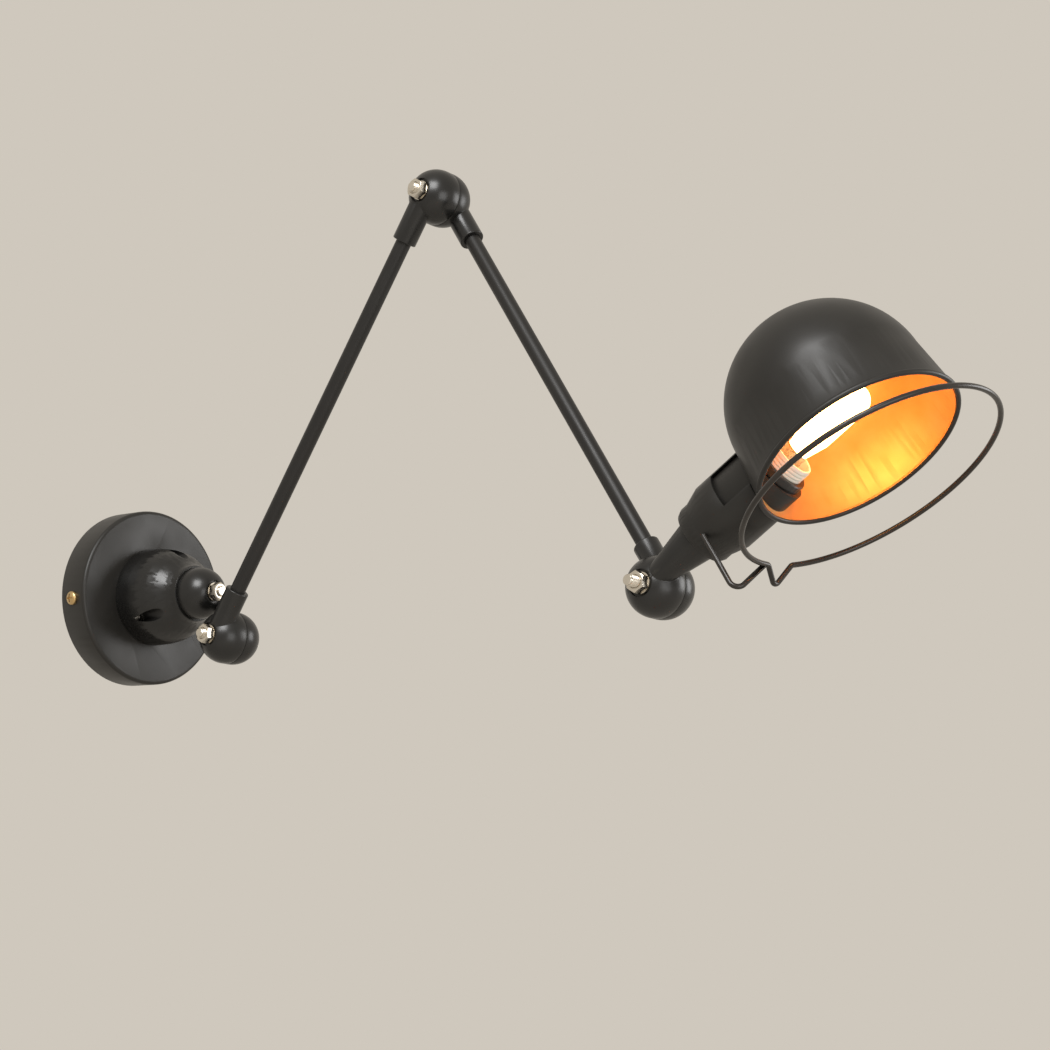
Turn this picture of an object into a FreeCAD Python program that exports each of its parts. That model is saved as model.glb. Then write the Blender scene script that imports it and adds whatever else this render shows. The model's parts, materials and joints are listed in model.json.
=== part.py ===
import FreeCAD, Part
import math
import os
import re

import Sketcher
from FreeCAD import Placement, Rotation, Vector

# Accordion wall lamp: a wall canopy, four clamped ball joints, two tube arms and a spot head.
# Millimetres, +Z up. The wall is the plane y = 0 and the lamp stands out towards -Y.
# The origin is the middle of the canopy's wall side.

# ---------------------------------------------------------------- driving dimensions
SIZES = (
    ("canopy_radius", 60.0, "outside radius of the canopy"),
    ("canopy_depth", 23.0, "canopy, wall to front plate"),
    ("canopy_wall", 1.5, "canopy sheet thickness"),
    ("canopy_edge", 2.5, "rounding of the canopy's front edge"),
    ("supply_hole", 6.0, "radius of the wire holes in bracket and canopy"),
    ("strap_width", 26.0, "mounting bracket, height of the strap"),
    ("strap_sheet", 2.0, "mounting bracket, sheet thickness"),
    ("strap_clear", 2.0, "mounting bracket, clearance to the canopy's side"),
    ("strap_tab", 14.0, "mounting bracket, length of the bent tabs"),
    ("slot_spacing", 80.0, "distance between the two wall slots"),
    ("slot_length", 12.0, "length of a wall slot"),
    ("slot_width", 5.0, "width of a wall slot"),
    ("side_screw_radius", 2.5, "canopy side screw, thread"),
    ("side_head_radius", 4.7, "canopy side screw, pan head"),
    ("side_head_height", 3.0, "canopy side screw, head height"),
    ("side_screw_length", 10.0, "canopy side screw, length under the head"),
    ("side_turn", 8.0, "canopy side screws, turned about the canopy axis, degrees"),
    ("block_width", 15.0, "terminal block, across"),
    ("block_length", 25.0, "terminal block, along its poles"),
    ("block_height", 13.0, "terminal block, off the strap"),
    ("block_bore", 2.0, "terminal block, radius of a pole's bore"),
    ("boss_foot", 33.0, "cast boss, radius at the canopy"),
    ("boss_rim", 18.8, "cast boss, radius at the swivel"),
    ("boss_length", 45.0, "cast boss, canopy to swivel"),
    ("boss_screw_circle", 28.3, "cast boss, radius of the screw circle"),
    ("boss_screw_turn", 97.0, "cast boss, first screw from the horizontal, degrees"),
    ("boss_screw_radius", 2.0, "boss screw, thread"),
    ("boss_pocket_radius", 4.1, "boss screw pocket"),
    ("boss_pocket_floor", 9.5, "thickness left under a boss screw head"),
    ("boss_head_radius", 3.7, "boss screw, pan head"),
    ("boss_head_height", 2.6, "boss screw, head height"),
    ("nut_m_radius", 4.0, "boss screw nut, half its width over corners"),
    ("nut_m_height", 3.2, "boss screw nut, height"),
    ("ball_radius", 17.5, "radius of every clamped ball"),
    ("ball_belt", 3.0, "straight belt of one half ball"),
    ("joint_gap", 0.3, "running gap between two half balls"),
    ("half_offset", 11.5, "socket axis from the ball's middle plane"),
    ("socket_radius", 7.7, "outside radius of an arm socket"),
    ("socket_reach", 34.0, "end of a socket from the ball centre"),
    ("tube_insert", 15.0, "how far an arm tube goes into its socket"),
    ("tube_radius", 5.0, "outside radius of an arm tube"),
    ("tube_wall", 1.0, "arm tube wall"),
    ("push_fit", 0.05, "radial clearance of pieces pushed together"),
    ("pin_fit", 0.05, "radial running fit of a joint bolt"),
    ("cavity_radius", 12.5, "hollow inside a half ball"),
    ("cavity_depth", 7.0, "depth of the hollow inside a half ball"),
    ("hub_radius", 6.2, "hub around the joint bolt"),
    ("bolt_radius", 3.5, "joint bolt, M7"),
    ("bolt_tip", 26.5, "arm joint bolt, end from the ball's middle plane"),
    ("head_tip", 30.5, "head joint bolt, end from the ball's middle plane"),
    ("swivel_tip", 25.5, "swivel bolt end from the ball's middle plane"),
    ("bolt_chamfer", 1.0, "chamfer of a joint bolt end"),
    ("nut_flat", 5.5, "joint nut, half its width across flats"),
    ("nut_height", 5.5, "joint nut, height"),
    ("head_height", 4.8, "joint bolt, head height"),
    ("washer_radius", 6.2, "spring washer, outside radius"),
    ("washer_height", 1.6, "spring washer, thickness"),
    ("recess_radius", 7.8, "round recess at a ball's pole"),
    ("recess_floor", 16.8, "recess floor from the ball's middle plane"),
    ("plate_height", 3.0, "contact plate thickness"),
    ("plate_gap", 0.25, "clearance around a contact plate"),
    ("ring_height", 0.8, "contact ring thickness"),
    ("ring_width", 1.4, "contact ring width"),
    ("ring_inner", 7.4, "inner contact ring, inside radius"),
    ("ring_outer", 10.2, "outer contact ring, inside radius"),
    ("brush_radius", 1.1, "spring brush radius"),
    ("brush_gap", 0.1, "clearance between brush and ring"),
    ("well_radius", 2.7, "wire passage radius"),
    ("well_place", 9.3, "wire passage from the bolt axis"),
    ("wire_radius", 0.9, "insulated wire radius"),
    ("wire_bend", 3.6, "bend radius of an insulated wire"),
    ("wire_spread", 1.05, "wire from the middle of its passage"),
    ("arm_length", 320.0, "ball centre to ball centre"),
    ("arm_one_angle", 58.3, "lower arm above the horizontal, degrees"),
    ("arm_two_angle", 55.0, "upper arm below the horizontal, degrees"),
    ("head_angle", 34.5, "lampholder axis above the horizontal, degrees"),
    ("shoulder_out", 36.0, "shoulder ball in front of the swivel's plane"),
    ("shoulder_drop", 32.0, "shoulder ball under the swivel axis"),
    ("knuckle_neck", 6.5, "radius of the knuckle's cast neck"),
    ("knuckle_rise", 9.0, "knuckle neck start, in front of the swivel's plane"),
    ("neck_end", 40.6, "conical neck, ball centre to housing"),
    ("neck_small", 5.4, "conical neck, radius of its cone at the ball's centre"),
    ("neck_large", 12.8, "conical neck, radius at the housing"),
    ("housing_rear", 18.0, "housing, rear radius"),
    ("housing_front", 21.0, "housing, front radius"),
    ("housing_step", 49.0, "housing, start of the flare"),
    ("housing_flare", 10.0, "housing, length of the flare"),
    ("housing_wall", 1.6, "housing wall"),
    ("housing_back", 4.0, "housing back thickness"),
    ("housing_round", 4.0, "rounding of the housing's back edge"),
    ("window_start", 71.0, "side window, start from the ball centre"),
    ("window_low", 7.0, "side window, lower edge under the axis"),
    ("window_high", 15.0, "side window, upper edge above the axis"),
    ("shade_gap", 0.8, "gap between the housing and the shade"),
    ("collar_radius", 19.1, "shade collar, outside radius"),
    ("collar_wall", 1.2, "shade collar wall"),
    ("collar_back", 67.0, "shade collar, rear end from the ball centre"),
    ("collar_inset", 44.5, "shade collar, front end behind the shade axis"),
    ("collar_seat", 2.0, "thickness of the collar's seat ring"),
    ("shade_reach", 143.0, "shade axis from the ball centre"),
    ("shade_drop", 24.0, "shade mouth under the lampholder axis"),
    ("shade_radius", 54.6, "shade dome, outside radius"),
    ("shade_skirt", 32.2, "height of the shade's skirt"),
    ("mouth_radius", 57.6, "shade mouth, outside radius at the bead"),
    ("shade_wall", 1.0, "shade sheet thickness"),
    ("bead_radius", 1.5, "rolled rim of the shade"),
    ("guard_radius", 73.6, "guard ring, to its wire's centre"),
    ("guard_reach", 139.8, "guard ring centre from the ball centre"),
    ("guard_drop", 41.8, "guard ring under the lampholder axis"),
    ("guard_pitch", -2.5, "guard ring, slope along the lampholder axis, degrees"),
    ("guard_lean", 3.4, "guard ring, slope across the lampholder axis, degrees"),
    ("guard_wire", 1.5, "guard wire radius"),
    ("notch_near", 0.5, "guard notch, its near end from the ring's middle"),
    ("notch_far", 24.5, "guard notch, its far end from the ring's middle"),
    ("notch_out", 8.5, "guard notch, tip outside the ring"),
    ("notch_fall", 8.0, "guard notch, tip under the ring's plane"),
    ("notch_bend", 3.0, "bend radius in the guard's notch"),
    ("bracket_reach", 51.0, "guard bracket, foot from the ball centre"),
    ("bracket_side", 16.6, "guard bracket, foot to the side of the axis"),
    ("bracket_drop", 10.0, "guard bracket, foot under the axis"),
    ("bracket_fall", 49.0, "guard bracket, lower corner under the axis"),
    ("bracket_lean", 1.0, "guard bracket, lower corner outside its foot"),
    ("bracket_bend", 4.5, "guard bracket, bend radius"),
    ("holder_radius", 13.6, "lampholder body radius"),
    ("holder_back", 62.0, "lampholder, rear end from the ball centre"),
    ("holder_past", 13.0, "lampholder, front end past the collar"),
    ("holder_wall", 1.8, "lampholder wall"),
    ("holder_base", 12.0, "lampholder, thickness of its base"),
    ("ring_nut_radius", 16.8, "shade ring, outside radius"),
    ("ring_nut_height", 5.0, "shade ring, height"),
    ("thread_fit", 0.15, "clearance of the shade ring's thread"),
    ("nipple_radius", 5.0, "threaded nipple, M10"),
    ("nipple_bore", 3.7, "threaded nipple bore"),
    ("nipple_grip", 10.0, "length of the nipple in the conical neck"),
    ("nipple_nut_radius", 8.0, "nipple nut, half its width across flats"),
    ("nipple_nut_height", 4.0, "nipple nut, height"),
    ("contact_grip", 2.0, "lampholder contact, depth in the holder's base"),
    ("cap_radius", 7.0, "bulb cap radius, E14"),
    ("cap_length", 26.0, "bulb cap length"),
    ("cap_depth", 24.0, "bulb cap, depth in the lampholder"),
    ("cap_point", 4.0, "bulb cap, length of its tapered end"),
    ("bulb_radius", 9.0, "bulb glass radius"),
    ("bulb_neck", 6.4, "bulb glass, neck radius"),
    ("bulb_length", 48.0, "bulb glass, cap to tip"),
    ("bulb_wall", 0.8, "bulb glass thickness"),
    ("round_small", 0.8, "small edge rounding"),
)
# Sizes that follow from the ones above; the sheet works them out too.
FOLLOWING = (
    ("collar_front", "shade_reach - collar_inset", "shade collar, front end"),
    ("holder_front", "shade_reach - collar_inset + holder_past", "lampholder, front end"),
    ("cap_place", "shade_reach - collar_inset + holder_past - cap_depth + contact_grip",
     "bulb cap, rear end"),
)
size = {name: value for name, value, note in SIZES}


def measure(text):
    """The value of an expression: sums and differences of products of sizes and numbers."""
    total = 0.0
    for sign, term in re.findall(r"([+-]?)\s*([^+-]+)", text):
        product = 1.0
        for factor in term.split("*"):
            factor = factor.strip()
            product *= size[factor] if factor in size else float(factor)
        total += -product if sign == "-" else product
    return total


for name, text, note in FOLLOWING:
    size[name] = measure(text)

doc = FreeCAD.newDocument("accordion_wall_lamp")
sheet = doc.addObject("Spreadsheet::Sheet", "sizes")
for row, (name, value, note) in enumerate(SIZES + FOLLOWING, start=1):
    sheet.set(f"A{row}", note)
    sheet.set(f"B{row}", f"={value}")
    sheet.setAlias(f"B{row}", name)
doc.recompute()


# ---------------------------------------------------------------- helpers
def bound(text):
    """Turn the size names in an expression into references to the sheet."""
    return re.sub(r"[a-z]\w*_\w+", lambda word: "sizes." + word.group(0), text)


def bind(item, **expressions):
    """Bind properties of an object; an underscore pair in a name stands for a dot."""
    for name, text in expressions.items():
        item.setExpression(name.replace("__", "."), bound(text))
    return item


def at(item, x="0", y="0", z="0", turn=None):
    """Place a piece in its own frame by expressions, turned by a fixed rotation."""
    if turn:
        item.Placement = Placement(Vector(), turn)
    for axis, text in (("x", x), ("y", y), ("z", z)):
        if text != "0":
            item.setExpression(f"Placement.Base.{axis}", bound(text))
    return item


def cylinder(name, radius, height, **place):
    item = bind(doc.addObject("Part::Cylinder", name), Radius=radius, Height=height)
    return at(item, **place)


def cone(name, radius_low, radius_high, height, **place):
    item = doc.addObject("Part::Cone", name)
    bind(item, Radius1=radius_low, Radius2=radius_high, Height=height)
    return at(item, **place)


def sphere(name, radius, low=-90, **place):
    item = bind(doc.addObject("Part::Sphere", name), Radius=radius)
    item.Angle1 = low
    return at(item, **place)


def torus(name, radius, wire, **place):
    item = bind(doc.addObject("Part::Torus", name), Radius1=radius, Radius2=wire)
    return at(item, **place)


def box(name, length, width, height, **place):
    item = bind(doc.addObject("Part::Box", name), Length=length, Width=width, Height=height)
    return at(item, **place)


def prism(name, flat, height, sides=6, **place):
    """A regular prism from its distance across flats."""
    item = doc.addObject("Part::Prism", name)
    item.Polygon = sides
    bind(item, Circumradius=f"({flat}) / cos({180.0 / sides} deg)", Height=height)
    return at(item, **place)


def fuse(name, *items):
    item = doc.addObject("Part::MultiFuse", name)
    item.Shapes = list(items)
    return item


def cut(name, base, *tools):
    item = doc.addObject("Part::Cut", name)
    item.Base = base
    item.Tool = tools[0] if len(tools) == 1 else fuse(name + "_tools", *tools)
    return item


def group(name, *items):
    item = doc.addObject("Part::Compound", name)
    item.Links = list(items)
    return item


def tube(name, outer, inner, height, **place):
    """A plain ring or sleeve along its own z axis."""
    solid = cylinder(name + "_outside", outer, height, **place)
    hole = cylinder(name + "_inside", inner, height, **place)
    return cut(name, solid, hole)


def turned(name, outline, **place):
    """A body revolved about its own z axis from an outline of (radius, height) expressions."""
    body = doc.addObject("PartDesign::Body", name)
    plane = [item for item in body.Origin.OriginFeatures if item.Role == "XZ_Plane"][0]
    sketch = body.newObject("Sketcher::SketchObject", name + "_outline")
    sketch.AttachmentSupport = [(plane, "")]
    sketch.MapMode = "FlatFace"
    corners = [Vector(measure(r), measure(z), 0) for r, z in outline]
    count = len(outline)
    for i in range(count):
        sketch.addGeometry(Part.LineSegment(corners[i], corners[(i + 1) % count]), False)
    for i in range(count):
        sketch.addConstraint(Sketcher.Constraint("Coincident", i, 2, (i + 1) % count, 1))
    for i, texts in enumerate(outline):
        for text, kind, axis, where in zip(texts, ("DistanceX", "DistanceY"), (-2, -1), corners[i]):
            if text == "0":
                sketch.addConstraint(Sketcher.Constraint("PointOnObject", i, 1, axis))
            else:
                number = sketch.addConstraint(Sketcher.Constraint(kind, -1, 1, i, 1, where))
                sketch.setExpression(f"Constraints[{number}]", bound(text))
    revolution = body.newObject("PartDesign::Revolution", name + "_turned")
    revolution.Profile = sketch
    revolution.ReferenceAxis = (sketch, ["V_Axis"])
    revolution.Angle = 360
    body.Tip = revolution
    return at(body, **place)


def softened(name, base, radius, wanted, kind="Part::Fillet"):
    """A rounded or chamfered copy of a Part object; wanted picks its edges."""
    doc.recompute()
    item = doc.addObject(kind, name)
    item.Base = base
    chosen = [i + 1 for i, edge in enumerate(base.Shape.Edges) if wanted(edge)]
    item.Edges = [(i, size[radius], size[radius]) for i in chosen]
    return item


def axes(x_axis, z_axis):
    """The rotation that takes a piece's own x and z axes to these directions."""
    return Rotation(x_axis, z_axis.cross(x_axis), z_axis, "ZXY")


def direction(degrees):
    """A unit vector in the arms' plane: 0 points straight off the wall, 90 straight up."""
    return Vector(0, -math.cos(math.radians(degrees)), math.sin(math.radians(degrees)))


def bent(points, radius):
    """A wire through straight runs whose corners are arcs of one radius."""
    edges = []
    start = points[0]
    for before, corner, after in zip(points, points[1:], points[2:]):
        back = (before - corner).normalize()
        ahead = (after - corner).normalize()
        half = back.getAngle(ahead) / 2
        inset = radius / math.tan(half)
        middle = (back + ahead).normalize() * (radius / math.sin(half) - radius)
        arc_start = corner + back * inset
        arc_end = corner + ahead * inset
        edges.append(Part.LineSegment(start, arc_start).toShape())
        edges.append(Part.Arc(arc_start, corner + middle, arc_end).toShape())
        start = arc_end
    edges.append(Part.LineSegment(start, points[-1]).toShape())
    return Part.Wire(edges)


def swept(path, radius):
    """A round wire of this radius swept along a path."""
    first = path.Edges[0]
    place = first.valueAt(first.FirstParameter)
    heading = first.tangentAt(first.FirstParameter)
    circle = Part.Wire([Part.makeCircle(radius, place, heading)])
    return path.makePipeShell([circle], True, False)


def shaped(name, shape, place=None):
    """A piece whose shape is made directly, such as a bent wire."""
    item = doc.addObject("Part::Feature", name)
    item.Shape = shape
    if place:
        item.Placement = place
    return item


nodes = []


def node(label, item, place=None):
    """Name a finished piece and, if asked, move it to its place in the lamp."""
    if any("Placement" in path for path, text in item.ExpressionEngine):
        item = group(label, item)
    item.Label = label
    if place:
        item.Placement = place.multiply(item.Placement)
    nodes.append(item)
    return item


ALONG_X = Rotation(Vector(0, 1, 0), 90)
AGAINST_X = Rotation(Vector(0, 1, 0), -90)
OUTWARD = Rotation(Vector(1, 0, 0), 90)
SIDES = (-1, 1)

# ---------------------------------------------------------------- places of the joints
swivel_centre = Vector(0, -(size["canopy_depth"] + size["boss_length"]), 0)
shoulder_centre = swivel_centre + Vector(0, -size["shoulder_out"], -size["shoulder_drop"])
arm_one = direction(size["arm_one_angle"])
arm_two = direction(-size["arm_two_angle"])
head_axis = direction(size["head_angle"])
elbow_centre = shoulder_centre + arm_one * size["arm_length"]
head_centre = elbow_centre + arm_two * size["arm_length"]
LEFT = Vector(-1, 0, 0)
RIGHT = Vector(1, 0, 0)
OUT = Vector(0, -1, 0)
DOWN = Vector(0, 0, -1)

# Each half ball has its own frame: x along its socket, z out of its pole.
swivel_fixed = Placement(swivel_centre, axes(DOWN, -OUT))
swivel_moving = Placement(swivel_centre, axes(DOWN, OUT))
knuckle_way = swivel_centre + OUT * size["knuckle_rise"] - shoulder_centre
shoulder_knuckle = Placement(shoulder_centre, axes(knuckle_way.normalize(), RIGHT))
shoulder_arm = Placement(shoulder_centre, axes(arm_one, LEFT))
elbow_lower = Placement(elbow_centre, axes(-arm_one, LEFT))
elbow_upper = Placement(elbow_centre, axes(arm_two, RIGHT))
head_upper = Placement(head_centre, axes(-arm_two, RIGHT))
head_lower = Placement(head_centre, axes(head_axis, LEFT))

# The head's frame: x along the lampholder, z away from the shade's mouth.
head_frame = Placement(head_centre + LEFT * size["half_offset"],
                       axes(head_axis, direction(size["head_angle"] + 90)))
wall_frame = Placement(Vector(), OUTWARD)


# ---------------------------------------------------------------- clamped ball joints
def half_ball(name, socket=True, bore="tube_radius + push_fit"):
    """Outside and hollows of one half of a clamped ball, both as fused solids."""
    solids = [
        cylinder(name + "_belt", "ball_radius", "ball_belt - joint_gap / 2", z="joint_gap / 2"),
        sphere(name + "_cap", "ball_radius", low=0, z="ball_belt"),
    ]
    hollows = [
        cut(name + "_hollow",
            cylinder(name + "_ring", "cavity_radius", "cavity_depth"),
            cylinder(name + "_hub", "hub_radius", "cavity_depth")),
        cylinder(name + "_bolt_hole", "bolt_radius + pin_fit", "ball_belt + ball_radius"),
        cylinder(name + "_recess", "recess_radius", "ball_radius", z="recess_floor"),
    ]
    if socket:
        solids.append(cylinder(name + "_socket", "socket_radius", "socket_reach",
                               z="half_offset", turn=ALONG_X))
        hollows += [
            cylinder(name + "_well", "well_radius", "half_offset - cavity_depth + well_radius / 2",
                     x="well_place", z="cavity_depth - well_radius / 2"),
            cylinder(name + "_passage", "well_radius", "socket_reach - well_place",
                     x="well_place", z="half_offset", turn=ALONG_X),
            cylinder(name + "_tube_bore", bore, "tube_insert",
                     x="socket_reach - tube_insert", z="half_offset", turn=ALONG_X),
        ]
    return fuse(name + "_outside", *solids), fuse(name + "_hollows", *hollows)


def socket_half(label, place):
    """A half ball with an arm socket, its socket end slightly rounded."""
    outside, hollows = half_ball(label)
    solid = softened(label + "_round", outside, "round_small",
                     lambda edge: abs(edge.CenterOfMass.x - size["socket_reach"]) < 0.01)
    return node(label, cut(label, solid, hollows), place)


def contact_plate(label, place):
    """The insulating plate at the bottom of a half ball's hollow."""
    plate = tube(label, "cavity_radius - plate_gap", "hub_radius + plate_gap", "plate_height",
                 z="cavity_depth - plate_height")
    return node(label, plate, place)


def contact_rings(label, place):
    """Two brass rings on a contact plate."""
    rings = [
        tube(f"{label}_{inside}", f"{inside} + ring_width", inside, "ring_height",
             z="cavity_depth - plate_height - ring_height")
        for inside in ("ring_inner", "ring_outer")
    ]
    return node(label, group(label, *rings), place)


def brushes(label, place):
    """Two spring brushes that reach across the joint to the contact rings."""
    pins = [
        cylinder(f"{label}_{inside}", "brush_radius",
                 "2 * (cavity_depth - plate_height) - ring_height - brush_gap",
                 x=f"-({inside} + ring_width / 2)",
                 z="-(cavity_depth - plate_height - ring_height - brush_gap)")
        for inside in ("ring_inner", "ring_outer")
    ]
    return node(label, group(label, *pins), place)


def joint_bolt(name, tip="bolt_tip", length="bolt_tip + recess_floor"):
    """Hexagon bolt: its head sits in the far half's recess, its end passes the nut."""
    shank = cylinder(name + "_shank", "bolt_radius", length, z=f"{tip} - ({length})")
    head = prism(name + "_head", "nut_flat", "head_height",
                 z=f"{tip} - ({length}) - head_height")
    whole = fuse(name + "_blank", shank, head)
    return softened(name, whole, "bolt_chamfer",
                    lambda edge: abs(edge.CenterOfMass.z - size[tip]) < 0.01, "Part::Chamfer")


def joint_nut(name):
    """Hexagon nut, chamfered on its outer side, that presses on the washer."""
    blank = prism(name + "_blank", "nut_flat", "nut_height", z="recess_floor + washer_height")
    chamfer = cone(name + "_chamfer", "nut_flat + nut_height / 3", "nut_flat",
                   "nut_height", z="recess_floor + washer_height")
    hexagon = doc.addObject("Part::Common", name + "_hexagon")
    hexagon.Base = blank
    hexagon.Tool = chamfer
    hole = cylinder(name + "_hole", "bolt_radius + push_fit", "3 * nut_height",
                    z="recess_floor")
    return cut(name, hexagon, hole)


def joint_washer(name):
    return tube(name, "washer_radius", "bolt_radius + push_fit", "washer_height",
                z="recess_floor")


def fasteners(label, make, *places):
    """One node of identical fasteners, one at each place."""
    items = [make(f"{label}_{i}") for i, place in enumerate(places)]
    for item, place in zip(items, places):
        item.Placement = place
    return node(label, group(label, *items))


def inner_wires(label, place, far_reach, to_plate=False, slant=0):
    """Two wires that rise from a contact plate and run in an arm, perhaps to a second plate.

    Where they end at a slanting face, slant is its rise over run.
    """
    low = size["cavity_depth"]
    top = size["half_offset"]
    first = size["well_place"]
    wires = []
    for side in SIDES:
        across = side * size["wire_spread"]
        points = [Vector(first, across, low), Vector(first, across, top),
                  Vector(far_reach + slant * across, across, top)]
        if to_plate:
            points.append(Vector(far_reach, across, low))
        wires.append(swept(bent(points, size["wire_bend"]), size["wire_radius"]))
    return node(label, shaped(label, Part.Compound(wires)), place)


# ---------------------------------------------------------------- wall side
# Mounting bracket: a strap on the wall with two bent tabs that the canopy's side screws enter.
strap_half = "canopy_radius - canopy_wall - strap_clear"
strap = box("strap", f"2 * ({strap_half})", "strap_width", "strap_sheet",
            x=f"-({strap_half})", y="-strap_width / 2")
tabs = [
    box(f"tab_{side}", "strap_sheet", "strap_width / 2", "strap_tab",
        x=f"{place} - strap_sheet / 2", y=low)
    for side, place, low in (("left", f"-({strap_half}) + strap_sheet / 2", "-strap_width / 2"),
                             ("right", f"{strap_half} - strap_sheet / 2", "0"))
]
slots = []
for side in ("-", ""):
    slots += [
        box("slot" + ("_left" if side else "_right"), "slot_length - slot_width", "slot_width",
            "2 * strap_sheet", x=f"{side}slot_spacing / 2 - (slot_length - slot_width) / 2",
            y="-slot_width / 2", z="-strap_sheet / 2"),
    ]
    slots += [
        cylinder(f"slot_end_{side or 'p'}{end or 'p'}".replace("-", "n"), "slot_width / 2",
                 "2 * strap_sheet", z="-strap_sheet / 2",
                 x=f"{side}slot_spacing / 2 + {end}1 * (slot_length - slot_width) / 2")
        for end in ("-", "")
    ]
side_way = Placement(Vector(), Rotation(Vector(0, 0, 1), size["side_turn"]))
side_hole = group("side_hole", cylinder(
    "side_bore", "side_screw_radius + push_fit", "4 * canopy_radius",
    x="-2 * canopy_radius", z="canopy_depth / 2", turn=ALONG_X))
side_hole.Placement = side_way
strap_hole = cylinder("strap_hole", "supply_hole", "2 * strap_sheet", z="-strap_sheet / 2")
earth_hole = cylinder("earth_hole", "boss_screw_radius + push_fit", "2 * strap_sheet",
                      x="-slot_spacing / 4", z="-strap_sheet / 2")
bracket = cut("mounting_bracket", fuse("strap_and_tabs", strap, *tabs), strap_hole, side_hole,
              earth_hole, *slots)
node("mounting_bracket", bracket, wall_frame)

# Canopy: a pressed cup, open to the wall.
cup = turned("canopy_cup", (
    ("canopy_radius - canopy_wall", "0"), ("canopy_radius", "0"),
    ("canopy_radius", "canopy_depth"), ("0", "canopy_depth"),
    ("0", "canopy_depth - canopy_wall"),
    ("canopy_radius - canopy_wall", "canopy_depth - canopy_wall")))
cup_round = softened("canopy_rounded", cup, "canopy_edge",
                     lambda edge: abs(edge.CenterOfMass.z - size["canopy_depth"]) < 0.01
                     and edge.Length > 2 * size["canopy_radius"])


BOSS_SCREWS = 3


def on_screw_circle(name, make, index):
    """Place a copy of a piece on the boss's screw circle; the first stands at the top."""
    item = make(name)
    turn = f"((boss_screw_turn + {index} * 360 / {BOSS_SCREWS}) * 1 deg)"
    at(item, x=f"boss_screw_circle * cos{turn}", y=f"boss_screw_circle * sin{turn}")
    return item


screw_holes = [
    on_screw_circle(f"plate_hole_{i}", lambda name: cylinder(
        name, "boss_screw_radius + push_fit", "canopy_depth + boss_length"), i)
    for i in range(BOSS_SCREWS)
]
wire_hole = cylinder("canopy_wire_hole", "supply_hole", "canopy_depth + canopy_wall")
canopy = cut("canopy", cup_round, wire_hole, side_hole, *screw_holes)
node("canopy", canopy, wall_frame)

side_screws = []
for side, sign, inward, back in (("left", "-", ALONG_X, AGAINST_X), ("right", "", AGAINST_X, ALONG_X)):
    shank = cylinder(f"side_{side}_shank", "side_screw_radius", "side_screw_length",
                     x=f"{sign}canopy_radius", z="canopy_depth / 2", turn=inward)
    cap = cylinder(f"side_{side}_cap", "side_head_radius", "side_head_height",
                   x=f"{sign}(canopy_radius + push_fit)", z="canopy_depth / 2", turn=back)
    whole = fuse(f"side_{side}_whole", shank, cap)
    outer = size["canopy_radius"] + size["push_fit"] + size["side_head_height"]
    side_screws.append(softened(f"side_screw_{side}", whole, "round_small",
                                lambda edge: abs(abs(edge.CenterOfMass.x) - outer) < 0.01))
node("canopy_side_screws", group("canopy_side_screws", *side_screws), wall_frame.multiply(side_way))

# Terminal block on the strap, its poles side by side.
pole_places = ("-block_length / 3", "0", "block_length / 3")
block = box("block_solid", "block_width", "block_length", "block_height",
            x="slot_spacing / 4 - block_width / 2", y="-block_length / 2", z="strap_sheet")
bores = [
    cylinder(f"block_bore_{i}", "block_bore + push_fit", "2 * block_width",
             x="slot_spacing / 4 - block_width", y=place, z="strap_sheet + block_height / 2",
             turn=ALONG_X)
    for i, place in enumerate(pole_places)
]
node("terminal_block", cut("terminal_block", block, *bores), wall_frame)
inserts = [
    cylinder(f"insert_{i}", "block_bore", "block_width * 0.8",
             x="slot_spacing / 4 - block_width * 0.4", y=place,
             z="strap_sheet + block_height / 2", turn=ALONG_X)
    for i, place in enumerate(pole_places)
]
node("terminal_inserts", group("terminal_inserts", *inserts), wall_frame)
earth = fuse("earth_screw", cylinder("earth_shank", "boss_screw_radius", "strap_sheet",
                                     x="-slot_spacing / 4"),
             cylinder("earth_head", "boss_head_radius", "boss_head_height",
                      x="-slot_spacing / 4", z="strap_sheet"))
node("earth_screw", earth, wall_frame)

# Cast boss: a bell that carries the fixed half of the swivel.
boss_outline = (
    ("0", "canopy_depth"), ("boss_foot", "canopy_depth"),
    ("boss_foot", "canopy_depth + boss_length * 0.1"),
    ("boss_foot * 0.99", "canopy_depth + boss_length * 0.28"),
    ("boss_foot * 0.955", "canopy_depth + boss_length * 0.45"),
    ("boss_foot * 0.89", "canopy_depth + boss_length * 0.6"),
    ("boss_foot * 0.78", "canopy_depth + boss_length * 0.74"),
    ("boss_rim * 1.15", "canopy_depth + boss_length * 0.84"),
    ("boss_rim * 1.04", "canopy_depth + boss_length * 0.92"),
    ("boss_rim", "canopy_depth + boss_length - joint_gap"),
    ("0", "canopy_depth + boss_length - joint_gap"))
boss_solid = turned("boss_solid", boss_outline)
pockets = [
    on_screw_circle(f"pocket_{i}", lambda name: cylinder(
        name, "boss_pocket_radius", "boss_length", z="canopy_depth + boss_pocket_floor"), i)
    for i in range(BOSS_SCREWS)
]
boss_hollow = cylinder("boss_hollow", "cavity_radius + plate_gap",
                       "boss_length - 3 * cavity_depth", z="canopy_depth")
front_hollow = at(cut("boss_front_hollow",
                      cylinder("boss_ring", "cavity_radius", "cavity_depth"),
                      cylinder("boss_hub", "hub_radius", "cavity_depth")),
                  z="canopy_depth + boss_length - cavity_depth")
boss_bolt_hole = cylinder("boss_bolt_hole", "bolt_radius + pin_fit", "boss_length",
                          z="canopy_depth")
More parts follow.
